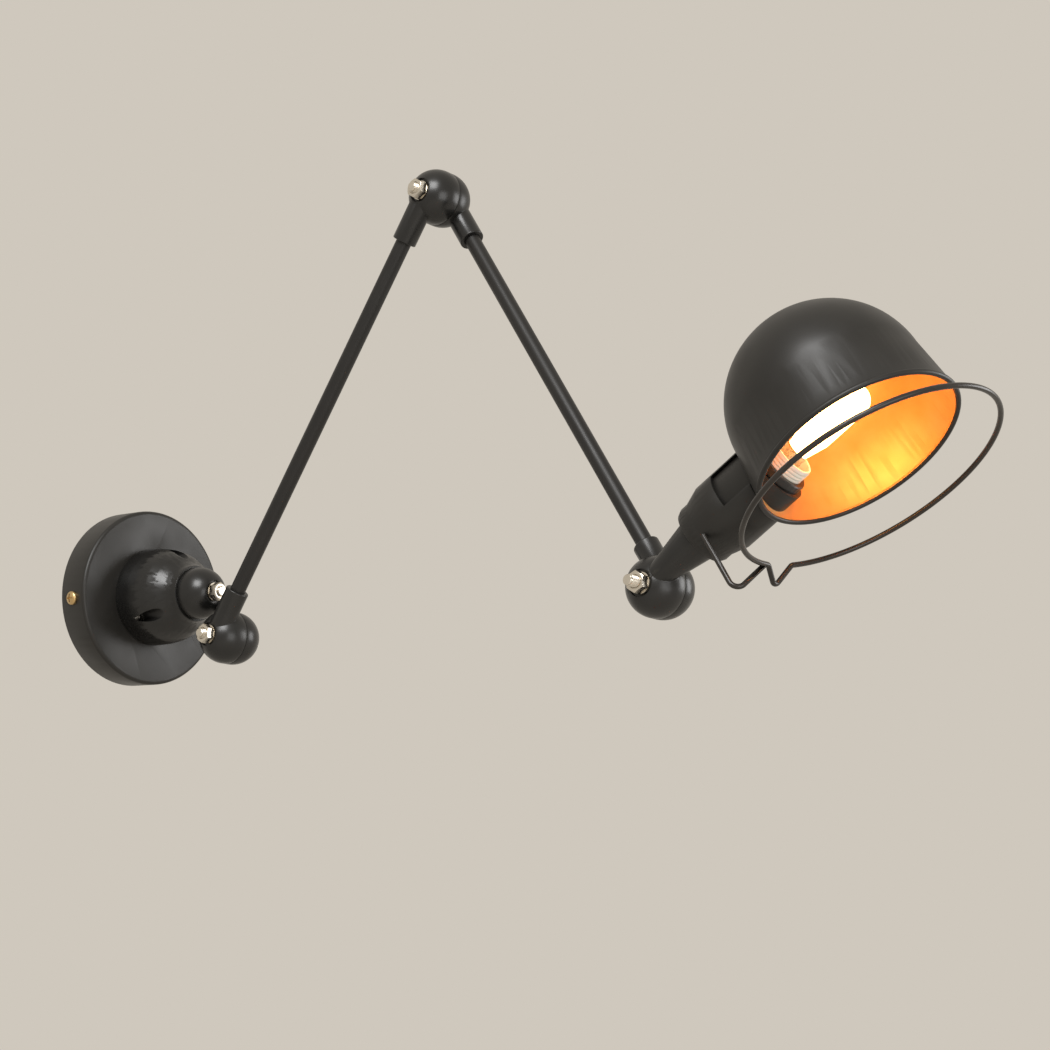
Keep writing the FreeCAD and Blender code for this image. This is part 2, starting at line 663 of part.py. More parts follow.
boss_wire_hole = cylinder("boss_wire_hole", "well_radius", "boss_length - cavity_depth",
                          y="-well_place", z="canopy_depth")
boss = cut("boss", boss_solid, boss_hollow, front_hollow, boss_bolt_hole, boss_wire_hole,
           *pockets, *screw_holes)
node("boss", boss, wall_frame)


def boss_screw(name):
    shank = cylinder(name + "_shank", "boss_screw_radius",
                     "boss_pocket_floor + canopy_wall + nut_m_height + 2",
                     z="canopy_depth - canopy_wall - nut_m_height - 2")
    head = cylinder(name + "_head", "boss_head_radius", "boss_head_height",
                    z="canopy_depth + boss_pocket_floor")
    slot = box(name + "_slot", "3 * boss_head_radius", "boss_head_radius / 4",
               "boss_head_height", x="-1.5 * boss_head_radius", y="-boss_head_radius / 8",
               z="canopy_depth + boss_pocket_floor + boss_head_height * 0.6")
    return cut(name, fuse(name + "_blank", shank, head), slot)


def boss_nut(name):
    blank = prism(name + "_hexagon", "nut_m_radius * 0.88", "nut_m_height",
                  z="canopy_depth - canopy_wall - nut_m_height")
    hole = cylinder(name + "_hole", "boss_screw_radius + push_fit", "canopy_depth")
    return cut(name, blank, hole)


screws = [on_screw_circle(f"boss_screw_{i}", boss_screw, i) for i in range(BOSS_SCREWS)]
node("boss_screws", group("boss_screws", *screws), wall_frame)
nuts = [on_screw_circle(f"boss_nut_{i}", boss_nut, i) for i in range(BOSS_SCREWS)]
node("boss_nuts", group("boss_nuts", *nuts), wall_frame)

# Wires from the terminal block, past the swivel bolt's head, to the swivel's contact plate.
pole_height = size["strap_sheet"] + size["block_height"] / 2
pole_face = size["slot_spacing"] / 4 - size["block_width"] * 0.4
hollow_end = size["canopy_depth"] + size["boss_length"] - 3 * size["cavity_depth"]
plate_back = size["canopy_depth"] + size["boss_length"] - size["cavity_depth"]
base_paths = []
for side in SIDES:
    pole = side * size["block_length"] / 3
    across = side * size["wire_spread"]
    base_paths.append(bent([
        Vector(pole_face, pole, pole_height),
        Vector(size["wire_bend"] / 2, pole, pole_height),
        Vector(across, -size["supply_hole"] * 0.6, size["canopy_depth"] * 0.75),
        Vector(across, -size["supply_hole"] * 0.7, size["canopy_depth"] + 4),
        Vector(across, -size["well_place"], hollow_end - size["head_height"] - 4),
        Vector(across, -size["well_place"], plate_back),
    ], size["wire_bend"]))
base_shape = Part.Compound([swept(path, size["wire_radius"]) for path in base_paths])
node("base_wires", shaped("base_wires", base_shape), wall_frame)
contact_plate("swivel_contact_plate", swivel_fixed)
contact_rings("swivel_contact_rings", swivel_fixed)

# ---------------------------------------------------------------- swivel
cap_outside, cap_hollows = half_ball("knuckle_cap", socket=False)
seat_outside, seat_hollows = half_ball("knuckle_seat", socket=False)
# The neck runs beside both balls' middle planes, so the lower arm swings past it.
neck_length = math.hypot(size["shoulder_drop"], size["shoulder_out"] - size["knuckle_rise"])
neck_slope = neck_length / (size["shoulder_out"] - size["knuckle_rise"])
bore_length = (size["shoulder_out"] - size["cavity_depth"]) * neck_slope
knuckle_neck = cylinder("knuckle_neck", "knuckle_neck", str(neck_length),
                        z="half_offset", turn=ALONG_X)
knuckle_bore = cylinder("knuckle_bore", "well_radius", f"{bore_length} + well_radius / 2 - well_place",
                        x="well_place", z="half_offset", turn=ALONG_X)
knuckle_well = cylinder("knuckle_well", "well_radius", "half_offset - cavity_depth + well_radius / 2",
                        x="well_place", z="cavity_depth - well_radius / 2")
seat_solid = fuse("knuckle_seat_neck", seat_outside, knuckle_neck)
seat_holes = fuse("knuckle_seat_holes", seat_hollows, knuckle_bore, knuckle_well)
for item in (cap_outside, cap_hollows):
    item.Placement = swivel_moving
for item in (seat_solid, seat_holes):
    item.Placement = shoulder_knuckle
knuckle = cut("knuckle", fuse("knuckle_casting", cap_outside, seat_solid), cap_hollows, seat_holes)
node("knuckle", knuckle)
plate_slant = size["shoulder_drop"] / (size["shoulder_out"] - size["knuckle_rise"])
inner_wires("knuckle_wires", shoulder_knuckle, bore_length - size["wire_radius"] * plate_slant,
            slant=plate_slant)
contact_plate("swivel_brush_plate", swivel_moving)
brushes("swivel_brushes", swivel_moving)
contact_plate("shoulder_brush_plate", shoulder_knuckle)
brushes("shoulder_brushes", shoulder_knuckle)
fasteners("swivel_bolt",
          lambda name: joint_bolt(name, "swivel_tip", "swivel_tip + 3 * cavity_depth"),
          swivel_moving)
fasteners("swivel_washer", joint_washer, swivel_moving)
fasteners("swivel_nut", joint_nut, swivel_moving)

# ---------------------------------------------------------------- arms
def arm_tube(label, place):
    """Plain tube between two sockets, along the x axis of its first half ball."""
    start = "socket_reach - tube_insert"
    length = "arm_length - 2 * socket_reach + 2 * tube_insert"
    outside = cylinder(label + "_outside", "tube_radius", length,
                       x=start, z="half_offset", turn=ALONG_X)
    inside = cylinder(label + "_inside", "tube_radius - tube_wall", length,
                      x=start, z="half_offset", turn=ALONG_X)
    return node(label, cut(label, outside, inside), place)


far_wire_end = size["arm_length"] - size["well_place"]
socket_half("shoulder_half", shoulder_arm)
arm_tube("lower_arm_tube", shoulder_arm)
inner_wires("lower_arm_wires", shoulder_arm, far_wire_end, to_plate=True)
socket_half("elbow_lower_half", elbow_lower)
socket_half("elbow_upper_half", elbow_upper)
arm_tube("upper_arm_tube", elbow_upper)
inner_wires("upper_arm_wires", elbow_upper, far_wire_end, to_plate=True)
socket_half("head_upper_half", head_upper)
for name, make in (("bolt", joint_bolt), ("washer", joint_washer), ("nut", joint_nut)):
    fasteners(f"arm_{name}s", make, shoulder_arm, elbow_lower)
fasteners("head_bolt", lambda name: joint_bolt(name, "head_tip", "head_tip + recess_floor"),
          head_lower)
fasteners("head_washer", joint_washer, head_lower)
fasteners("head_nut", joint_nut, head_lower)
for joint, place in (("shoulder", shoulder_arm), ("elbow", elbow_lower), ("head", head_lower)):
    contact_plate(f"{joint}_contact_plate", place)
    contact_rings(f"{joint}_contact_rings", place)
for joint, place in (("elbow", elbow_upper), ("head", head_upper)):
    contact_plate(f"{joint}_brush_plate", place)
    brushes(f"{joint}_brushes", place)

# ---------------------------------------------------------------- head
# Half ball with the conical neck that carries the housing.
lower_solids = [
    cylinder("head_lower_belt", "ball_radius", "ball_belt - joint_gap / 2", z="joint_gap / 2"),
    sphere("head_lower_cap", "ball_radius", low=0, z="ball_belt"),
    cone("head_lower_neck", "neck_small", "neck_large", "neck_end", z="half_offset", turn=ALONG_X),
]
lower_hollows = [
    cut("head_lower_hollow", cylinder("head_lower_ring", "cavity_radius", "cavity_depth"),
        cylinder("head_lower_hub", "hub_radius", "cavity_depth")),
    cylinder("head_lower_bolt_hole", "bolt_radius + pin_fit", "ball_belt + ball_radius"),
    cylinder("head_lower_recess", "recess_radius", "ball_radius", z="recess_floor"),
    cylinder("head_lower_well", "well_radius", "half_offset - cavity_depth + well_radius / 2",
             x="well_place", z="cavity_depth - well_radius / 2"),
    cylinder("head_lower_passage", "well_radius", "neck_end", x="well_place",
             z="half_offset", turn=ALONG_X),
    cylinder("head_lower_nipple_bore", "nipple_radius + push_fit", "nipple_grip",
             x="neck_end - nipple_grip", z="half_offset", turn=ALONG_X),
]
head_half = cut("head_lower_half", fuse("head_lower_outside", *lower_solids), *lower_hollows)
node("head_lower_half", head_half, head_lower)

inner_wires("head_wires", head_lower, size["holder_back"] + size["holder_base"] - size["contact_grip"])

# Housing: back, rear sleeve, flare and front sleeve, shaped to the shade in front.
housing_outside = turned("housing_outside", (
    ("0", "neck_end"), ("housing_rear - housing_round", "neck_end"),
    ("housing_rear - housing_round * 0.3", "neck_end + housing_round * 0.3"),
    ("housing_rear", "neck_end + housing_round"),
    ("housing_rear", "housing_step"), ("housing_front", "housing_step + housing_flare"),
    ("housing_front", "shade_reach - shade_radius * 0.6"),
    ("0", "shade_reach - shade_radius * 0.6")), turn=ALONG_X)
housing_inside = turned("housing_inside", (
    ("0", "neck_end + housing_back"), ("housing_rear - housing_wall", "neck_end + housing_back"),
    ("housing_rear - housing_wall", "housing_step"),
    ("housing_front - housing_wall", "housing_step + housing_flare"),
    ("housing_front - housing_wall", "shade_reach"), ("0", "shade_reach")), turn=ALONG_X)


def dome(name, grow):
    """The shade's outer form with its wall moved out by an expression, mouth at z = 0."""
    cap = sphere(name + "_cap", f"shade_radius + {grow}", low=0, z="shade_skirt")
    skirt = cone(name + "_skirt", f"mouth_radius + {grow}", f"shade_radius + {grow}",
                 "shade_skirt")
    return at(fuse(name, cap, skirt), x="shade_reach", z="-shade_drop")


dome_clearance = dome("dome_clearance", "shade_gap")
below_mouth = cylinder("below_mouth", "mouth_radius + shade_gap", "shade_radius",
                       x="shade_reach", z="-shade_drop - shade_radius")
window = box("window", "shade_reach", "4 * housing_front", "window_low + window_high",
             x="window_start", y="-2 * housing_front", z="-window_low")
nipple_hole = cylinder("nipple_hole", "nipple_radius + push_fit", "neck_end",
                       x="neck_end", turn=ALONG_X)
housing = cut("housing", housing_outside, housing_inside, dome_clearance, below_mouth, window,
              nipple_hole)
node("housing", housing, head_frame)

# Nipple: a threaded tube that holds lampholder, housing and neck together.
nipple = tube("nipple", "nipple_radius", "nipple_bore",
              "holder_back - neck_end + nipple_grip", x="neck_end - nipple_grip", turn=ALONG_X)
node("nipple", nipple, head_frame)
nipple_nut = cut("nipple_nut",
                 prism("nipple_nut_blank", "nipple_nut_radius", "nipple_nut_height",
                       x="neck_end + housing_back", turn=ALONG_X),
                 cylinder("nipple_nut_hole", "nipple_radius + push_fit", "2 * nipple_nut_height",
                          x="neck_end", turn=ALONG_X))
node("nipple_nut", nipple_nut, head_frame)

# Lampholder with a threaded front for the shade ring.
holder = turned("lampholder_body", (
    ("nipple_bore", "holder_back"), ("holder_radius * 0.8", "holder_back"),
    ("holder_radius", "holder_back + 3"), ("holder_radius", "holder_front"),
    ("holder_radius - holder_wall", "holder_front"),
    ("holder_radius - holder_wall", "holder_front - 6"),
    ("cap_radius + 1", "holder_front - 6"),
    ("cap_radius + 1", "holder_back + holder_base"),
    ("nipple_bore", "holder_back + holder_base")), turn=ALONG_X)
node("lampholder", holder, head_frame)
contact_button = cylinder("contact_button", "nipple_bore - plate_gap",
                          "cap_place - holder_back - holder_base + contact_grip - brush_gap",
                          x="holder_back + holder_base - contact_grip", turn=ALONG_X)
node("lampholder_contact", contact_button, head_frame)
ring_nut = tube("shade_ring", "ring_nut_radius", "holder_radius + thread_fit",
                "ring_nut_height", x="collar_front", turn=ALONG_X)
node("shade_ring", ring_nut, head_frame)

# Shade: spun dome and skirt with a rolled rim, entered from the side by its collar.
dome_outside = dome("dome_outside", "0")
dome_inside = dome("dome_inside", "(-1) * shade_wall")
bead = torus("bead", "mouth_radius - shade_wall / 2", "bead_radius",
             x="shade_reach", z="-shade_drop")
shell = cut("dome_shell", dome_outside, dome_inside)
collar_outside = cylinder("collar_outside", "collar_radius", "collar_front - collar_back",
                          x="collar_back", turn=ALONG_X)
collar_inside = cylinder("collar_inside", "collar_radius - collar_wall",
                         "collar_front - collar_back - collar_seat",
                         x="collar_back", turn=ALONG_X)
collar_hole = cylinder("collar_hole", "holder_radius + thread_fit",
                       "collar_front - collar_back", x="collar_back + 1", turn=ALONG_X)
shade = cut("shade", fuse("shade_solid", shell, bead, collar_outside), collar_inside,
            collar_hole)
node("shade", shade, head_frame)

# Guard: a wire ring in front of the mouth with a notch towards the neck, on a bent wire leg.
pitch = math.tan(math.radians(size["guard_pitch"]))
lean = math.tan(math.radians(size["guard_lean"]))
guard_frame = Placement(Vector(size["guard_reach"], 0, -size["guard_drop"]),
                        axes(Vector(1, 0, pitch).normalize(), Vector(-pitch, -lean, 1).normalize()))


def on_ring(across):
    """A point of the ring's rear half, this far to the right of the ring's middle."""
    return Vector(-math.sqrt(size["guard_radius"] ** 2 - across ** 2), across, 0)


near_shoulder = on_ring(-size["notch_near"])
far_shoulder = on_ring(size["notch_far"])
ring_front = Vector(size["guard_radius"], 0, 0)
big_arc = Part.Arc(far_shoulder, ring_front, near_shoulder).toShape()
ease = size["notch_bend"]
near_ease = near_shoulder + big_arc.tangentAt(big_arc.LastParameter) * ease
far_ease = far_shoulder - big_arc.tangentAt(big_arc.FirstParameter) * ease
notch_tip = on_ring((size["notch_far"] - size["notch_near"]) / 2)
notch_tip += Vector(-size["notch_out"], 0, -size["notch_fall"])
notch = bent([near_shoulder, near_ease, notch_tip, far_ease, far_shoulder], size["notch_bend"])
guard_shape = swept(Part.Wire([big_arc]), size["guard_wire"])
guard_shape = guard_shape.fuse(swept(notch, size["guard_wire"]))
guard_shape.Placement = guard_frame
node("guard_ring", shaped("guard_ring", guard_shape), head_frame)
foot = Vector(size["bracket_reach"], -size["bracket_side"], -size["bracket_drop"])
corner = Vector(foot.x, foot.y - size["bracket_lean"], -size["bracket_fall"])
leg_path = bent([foot, corner, guard_frame.multVec(near_shoulder)], size["bracket_bend"])
doc.recompute()
housing_shape = housing.Shape.copy()
housing_shape.Placement = Placement()
leg_shape = swept(leg_path, size["guard_wire"]).cut(guard_shape).cut(housing_shape)
leg = max(leg_shape.Solids, key=lambda solid: solid.Volume)
node("guard_bracket", shaped("guard_bracket", leg), head_frame)

# Bulb: slim tube with a screw cap.
bulb_cap = turned("bulb_cap_body", (
    ("0", "cap_place"), ("cap_radius * 0.5", "cap_place"),
    ("cap_radius", "cap_place + cap_point"), ("cap_radius", "cap_place + cap_length"),
    ("cap_radius - bulb_wall", "cap_place + cap_length"),
    ("cap_radius - bulb_wall", "cap_place + cap_point + bulb_wall"),
    ("0", "cap_place + cap_point")), turn=ALONG_X)
node("bulb_cap", bulb_cap, head_frame)


def glass_form(name, shrink):
    """The tubular bulb's form with its surface moved in by an expression."""
    start = "cap_place + cap_length"
    parts = [
        cone(name + "_throat", f"bulb_neck - {shrink}", f"bulb_radius - {shrink}",
             "bulb_length / 4", x=start, turn=ALONG_X),
        cylinder(name + "_tube", f"bulb_radius - {shrink}", "bulb_length * 3 / 4 - bulb_radius",
                 x=f"{start} + bulb_length / 4", turn=ALONG_X),
        sphere(name + "_tip", f"bulb_radius - {shrink}", low=0,
               x=f"{start} + bulb_length - bulb_radius", turn=ALONG_X),
    ]
    return fuse(name, *parts)


bulb_glass = cut("bulb_glass", glass_form("glass_outside", "0"), glass_form("glass_inside", "bulb_wall"))
node("bulb_glass", bulb_glass, head_frame)

# ---------------------------------------------------------------- check and write
doc.recompute()
os.makedirs("parts", exist_ok=True)
for item in doc.Objects:
    if "Invalid" in item.State or "Error" in item.State:
        raise RuntimeError(f"{item.Label} did not build: {item.State}")
for item in nodes:
    if item.Shape.isNull() or not item.Shape.isValid() or not item.Shape.Solids:
        raise RuntimeError(f"{item.Label} has no valid solid")
    item.Shape.exportStep(f"parts/{item.Label}.step")
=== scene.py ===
"""Finishes, fine pieces, light and camera for an articulated wall lamp.

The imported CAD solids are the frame. This script dresses them, replaces the ones whose edges,
threads and recesses need finer modelling, and sets up a plain studio round them.
Lengths are metres unless a name ends in _mm. The lamp hangs on the wall plane y = 0, towards -Y.
"""
import json
import logging
import math
from dataclasses import dataclass, field
from enum import Enum
from typing import Any, Callable, Sequence

import bpy
from mathutils import Matrix, Vector

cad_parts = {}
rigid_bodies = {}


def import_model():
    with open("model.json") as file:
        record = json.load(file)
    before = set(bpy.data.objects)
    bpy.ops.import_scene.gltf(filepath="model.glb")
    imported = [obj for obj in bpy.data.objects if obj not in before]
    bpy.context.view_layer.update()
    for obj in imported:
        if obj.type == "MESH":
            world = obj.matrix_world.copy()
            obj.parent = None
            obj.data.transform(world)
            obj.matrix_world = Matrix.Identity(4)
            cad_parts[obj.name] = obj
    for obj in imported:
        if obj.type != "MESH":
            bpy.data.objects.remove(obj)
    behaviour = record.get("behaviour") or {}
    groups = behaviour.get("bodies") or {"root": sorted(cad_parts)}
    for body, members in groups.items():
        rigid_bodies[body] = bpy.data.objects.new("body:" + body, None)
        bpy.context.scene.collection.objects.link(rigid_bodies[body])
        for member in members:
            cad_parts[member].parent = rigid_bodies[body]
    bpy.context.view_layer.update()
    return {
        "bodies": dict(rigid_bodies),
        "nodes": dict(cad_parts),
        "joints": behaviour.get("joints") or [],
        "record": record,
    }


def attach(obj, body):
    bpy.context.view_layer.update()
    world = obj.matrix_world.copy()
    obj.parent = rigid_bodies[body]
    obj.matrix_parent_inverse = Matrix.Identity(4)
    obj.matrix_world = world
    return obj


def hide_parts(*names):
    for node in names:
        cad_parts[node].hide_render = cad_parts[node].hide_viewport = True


MM = 0.001
LOG = logging.getLogger("wall_lamp")
Colour = tuple[float, float, float, float]

# Sockets of Blender's colour mix node.
MIX_FACTOR, MIX_DARK, MIX_LIGHT, MIX_RESULT = 0, 6, 7, 2

# Points closer than these are one point, in metres; faces flatter than FLAT_DEG are one face.
MERGE_M = 1e-6
COPY_MERGE_M = 2e-6
FLAT_DEG = 0.6


# ------------------------------------------------------------------ colour and node helpers
def linear(hex_colour: str) -> Colour:
    """Turn an sRGB hex colour into Blender's linear values.

    Args:
        hex_colour: six hex digits with a leading hash.

    Returns:
        Linear red, green and blue with an alpha of one.
    """
    parts = [int(hex_colour[i:i + 2], 16) / 255 for i in (1, 3, 5)]
    bent = [c / 12.92 if c <= 0.04045 else ((c + 0.055) / 1.055) ** 2.4 for c in parts]
    return (bent[0], bent[1], bent[2], 1.0)


def add_node(tree: bpy.types.NodeTree, kind: str, values: dict[Any, Any] | None = None,
             links: dict[Any, Any] | None = None, **settings: Any) -> bpy.types.Node:
    """Add one shader node with its settings, socket values and incoming links.

    Args:
        tree: the material's or world's node tree.
        kind: the node's type name without its ShaderNode prefix.
        values: socket name or index to a constant.
        links: socket name or index to the output socket that feeds it.
        settings: plain properties of the node.

    Returns:
        The new node.
    """
    node = tree.nodes.new("ShaderNode" + kind)
    for name, value in settings.items():
        setattr(node, name, value)
    for socket, value in (values or {}).items():
        node.inputs[socket].default_value = value
    for socket, source in (links or {}).items():
        tree.links.new(source, node.inputs[socket])
    return node


def per_mm(size_mm: float) -> float:
    """Noise scale that gives one feature per size, for coordinates in metres."""
    return 1.0 / (size_mm * MM)


# ------------------------------------------------------------------ finishes
class Sheen(Enum):
    """How smooth a coat has dried, as a roughness."""

    HALF_GLOSS = 0.27
    SATIN = 0.40
    DULL = 0.55


@dataclass(frozen=True)
class Finish:
    """A surface finish; its subclasses say what it is made of."""

    name: str
    colour: str

    def surface(self, tree: bpy.types.NodeTree, shader: bpy.types.Node,
                place: bpy.types.NodeSocket) -> None:
        """Add the finish's own nodes to the material's shader.

        Args:
            tree: the material's node tree.
            shader: the material's shader node.
            place: object coordinates.
        """
        raise NotImplementedError

    def material(self) -> bpy.types.Material:
        """Build the material once and hand out the same one after that.

        Returns:
            The material.
        """
        made = bpy.data.materials.get(self.name)
        if made:
            return made
        made = bpy.data.materials.new(self.name)
        made.use_nodes = True
        tree = made.node_tree
        shader = tree.nodes["Principled BSDF"]
        shader.inputs["Base Color"].default_value = linear(self.colour)
        place = add_node(tree, "TexCoord").outputs["Object"]
        self.surface(tree, shader, place)
        return made

    @staticmethod
    def mottle(tree: bpy.types.NodeTree, place: bpy.types.NodeSocket, size_mm: float,
               detail: float = 3.0) -> bpy.types.NodeSocket:
        """A soft noise with features of a real size.

        Args:
            tree: the material's node tree.
            place: object coordinates.
            size_mm: the size of one feature.
            detail: how many finer octaves it has.

        Returns:
            The noise's value socket.
        """
        noise = add_node(tree, "TexNoise", {"Scale": per_mm(size_mm), "Detail": detail},
                         {"Vector": place})
        return noise.outputs["Fac"]

    @staticmethod
    def spread(tree: bpy.types.NodeTree, value: bpy.types.NodeSocket, low: float,
               high: float) -> bpy.types.NodeSocket:
        """Map a noise value onto a range.

        Args:
            tree: the material's node tree.
            value: the noise value.
            low: what a dark patch gives.
            high: what a bright patch gives.

        Returns:
            The mapped value socket.
        """
        ranged = add_node(tree, "MapRange", {"From Min": 0.3, "From Max": 0.7, "To Min": low,
                                             "To Max": high}, {"Value": value})
        return ranged.outputs["Result"]

    @staticmethod
    def tint(tree: bpy.types.NodeTree, shader: bpy.types.Node, value: bpy.types.NodeSocket,
             dark: str, light: str) -> None:
        """Let the base colour wander between two close colours.

        Args:
            tree: the material's node tree.
            shader: the material's shader node.
            value: which colour shows, from 0 to 1.
            dark: the sRGB colour at 0.
            light: the sRGB colour at 1.
        """
        mix = add_node(tree, "Mix", {MIX_DARK: linear(dark), MIX_LIGHT: linear(light)},
                       {MIX_FACTOR: value}, data_type="RGBA")
        tree.links.new(mix.outputs[MIX_RESULT], shader.inputs["Base Color"])

    @staticmethod
    def bump(tree: bpy.types.NodeTree, shader: bpy.types.Node, height: bpy.types.NodeSocket,
             depth_mm: float) -> None:
        """Raise the surface by a height map.

        Args:
            tree: the material's node tree.
            shader: the material's shader node.
            height: the height map, from 0 to 1.
            depth_mm: how high its full swing stands.
        """
        node = add_node(tree, "Bump", {"Distance": depth_mm * MM, "Strength": 1.0},
                        {"Height": height})
        tree.links.new(node.outputs["Normal"], shader.inputs["Normal"])


@dataclass(frozen=True)
class PowderCoat(Finish):
    """Polyester powder baked on steel: a soft sheen with a very fine orange peel."""

    light: str = "#2b2926"
    sheen: Sheen = Sheen.SATIN
    peel_mm: float = 1.1
    peel_depth_mm: float = 0.012
    mark_mm: float = 38.0
    dust_mm: float = 17.0
    smoother: float = 0.05
    rougher: float = 0.07
    specular: float = 0.38

    def surface(self, tree: bpy.types.NodeTree, shader: bpy.types.Node,
                place: bpy.types.NodeSocket) -> None:
        """Orange peel in the relief, handling marks in the roughness, dust in the colour."""
        shader.inputs["Specular IOR Level"].default_value = self.specular
        rough = self.spread(tree, self.mottle(tree, place, self.mark_mm),
                            self.sheen.value - self.smoother, self.sheen.value + self.rougher)
        tree.links.new(rough, shader.inputs["Roughness"])
        dust = self.mottle(tree, place, self.dust_mm, 6.0)
        self.tint(tree, shader, dust, self.colour, self.light)
        self.bump(tree, shader, self.mottle(tree, place, self.peel_mm, 2.0), self.peel_depth_mm)


@dataclass(frozen=True)
class StoveEnamel(Finish):
    """Black enamel on a sand casting: glossier, with the casting's slow waves under it."""

    light: str = "#262422"
    sheen: Sheen = Sheen.HALF_GLOSS
    wave_mm: float = 7.0
    wave_depth_mm: float = 0.05
    patch_mm: float = 22.0
    soot_mm: float = 9.0
    smoother: float = 0.05
    rougher: float = 0.10

    def surface(self, tree: bpy.types.NodeTree, shader: bpy.types.Node,
                place: bpy.types.NodeSocket) -> None:
        """Casting waves and a fine grain in the relief, uneven gloss over them."""
        rough = self.spread(tree, self.mottle(tree, place, self.patch_mm, 5.0),
                            self.sheen.value - self.smoother, self.sheen.value + self.rougher)
        tree.links.new(rough, shader.inputs["Roughness"])
        soot = self.mottle(tree, place, self.soot_mm, 5.0)
        self.tint(tree, shader, soot, self.colour, self.light)
        waves = self.mottle(tree, place, self.wave_mm, 4.0)
        self.bump(tree, shader, waves, self.wave_depth_mm)


@dataclass(frozen=True)
class WarmEnamel(Finish):
    """Golden lacquer sprayed inside the shade: it warms and spreads the bulb's light."""

    light: str = "#e8b878"
    metallic: float = 0.35
    patch_mm: float = 25.0
    cloud_mm: float = 14.0
    spray_mm: float = 0.9
    spray_depth_mm: float = 0.01
    smoothest: float = 0.34
    roughest: float = 0.46

    def surface(self, tree: bpy.types.NodeTree, shader: bpy.types.Node,
                place: bpy.types.NodeSocket) -> None:
        """Half-metallic lacquer with a fine spray grain."""
        shader.inputs["Metallic"].default_value = self.metallic
        rough = self.spread(tree, self.mottle(tree, place, self.patch_mm), self.smoothest,
                            self.roughest)
        tree.links.new(rough, shader.inputs["Roughness"])
        clouds = self.mottle(tree, place, self.cloud_mm, 5.0)
        self.tint(tree, shader, clouds, self.colour, self.light)
        self.bump(tree, shader, self.mottle(tree, place, self.spray_mm, 2.0), self.spray_depth_mm)


@dataclass(frozen=True)
class PlatedMetal(Finish):
    """Plated or bare metal: bright, with turning marks and dulled patches."""

    light: str = "#e6dfd2"
    roughness: float = 0.16
    dulling: float = 0.16
    scratch_mm: float = 0.5
    scratch_depth_mm: float = 0.006
    patch_mm: float = 3.0
    cloud_mm: float = 6.0

    def surface(self, tree: bpy.types.NodeTree, shader: bpy.types.Node,
                place: bpy.types.NodeSocket) -> None:
        """Metal with patchy roughness and faint marks of the tool."""
        shader.inputs["Metallic"].default_value = 1.0
        patches = self.mottle(tree, place, self.patch_mm, 6.0)
        rough = self.spread(tree, patches, self.roughness, self.roughness + self.dulling)
        tree.links.new(rough, shader.inputs["Roughness"])
        clouds = self.mottle(tree, place, self.cloud_mm, 5.0)
        self.tint(tree, shader, clouds, self.colour, self.light)
        scratches = self.mottle(tree, place, self.scratch_mm, 2.0)
        self.bump(tree, shader, scratches, self.scratch_depth_mm)


@dataclass(frozen=True)
class Moulding(Finish):
    """Moulded plastic or thermoset: even colour, soft gloss, faint flow marks."""

    light: str = "#f1ede2"
    roughness: float = 0.35
    smoother: float = 0.05
    rougher: float = 0.08
    patch_mm: float = 12.0
    flow_mm: float = 10.0
    grain_mm: float = 0.7
    grain_depth_mm: float = 0.01

    def surface(self, tree: bpy.types.NodeTree, shader: bpy.types.Node,
                place: bpy.types.NodeSocket) -> None:
        """Flow marks in the colour and a fine moulded grain."""
        rough = self.spread(tree, self.mottle(tree, place, self.patch_mm),
                            self.roughness - self.smoother, self.roughness + self.rougher)
        tree.links.new(rough, shader.inputs["Roughness"])
        flow = self.mottle(tree, place, self.flow_mm, 4.0)
        self.tint(tree, shader, flow, self.colour, self.light)
        self.bump(tree, shader, self.mottle(tree, place, self.grain_mm, 2.0), self.grain_depth_mm)


@dataclass(frozen=True)
class PressedPaper(Finish):
    """Phenolic paper laminate: brown, in fine layers."""

    light: str = "#7a4f2c"
    roughness: float = 0.45
    layer_mm: float = 0.4
    waves_per_unit: float = 20
    waviness: float = 2.0

    def surface(self, tree: bpy.types.NodeTree, shader: bpy.types.Node,
                place: bpy.types.NodeSocket) -> None:
        """Layers as fine bands along X with a waxy sheen."""
        shader.inputs["Roughness"].default_value = self.roughness
        scale = per_mm(self.layer_mm) / self.waves_per_unit
        bands = add_node(tree, "TexWave", {"Scale": scale, "Distortion": self.waviness,
                                           "Detail": 2.0}, {"Vector": place})
        self.tint(tree, shader, bands.outputs["Fac"], self.colour, self.light)


@dataclass(frozen=True)
class GlowingGlass(Finish):
    """Frosted glass with the filament's light behind it."""

    glow: str = "#ffb566"
    strength: float = 17.0
    light: str = "#fff6e6"
    ior: float = 1.5
    patch_mm: float = 9.0
    cloud_mm: float = 12.0
    smoothest: float = 0.45
    roughest: float = 0.6

    def surface(self, tree: bpy.types.NodeTree, shader: bpy.types.Node,
                place: bpy.types.NodeSocket) -> None:
        """An even glow through a matt, slightly cloudy skin."""
        shader.inputs["IOR"].default_value = self.ior
        shader.inputs["Emission Color"].default_value = linear(self.glow)
        shader.inputs["Emission Strength"].default_value = self.strength
        rough = self.spread(tree, self.mottle(tree, place, self.patch_mm), self.smoothest,
                            self.roughest)
        tree.links.new(rough, shader.inputs["Roughness"])
        self.tint(tree, shader, self.mottle(tree, place, self.cloud_mm), self.colour, self.light)


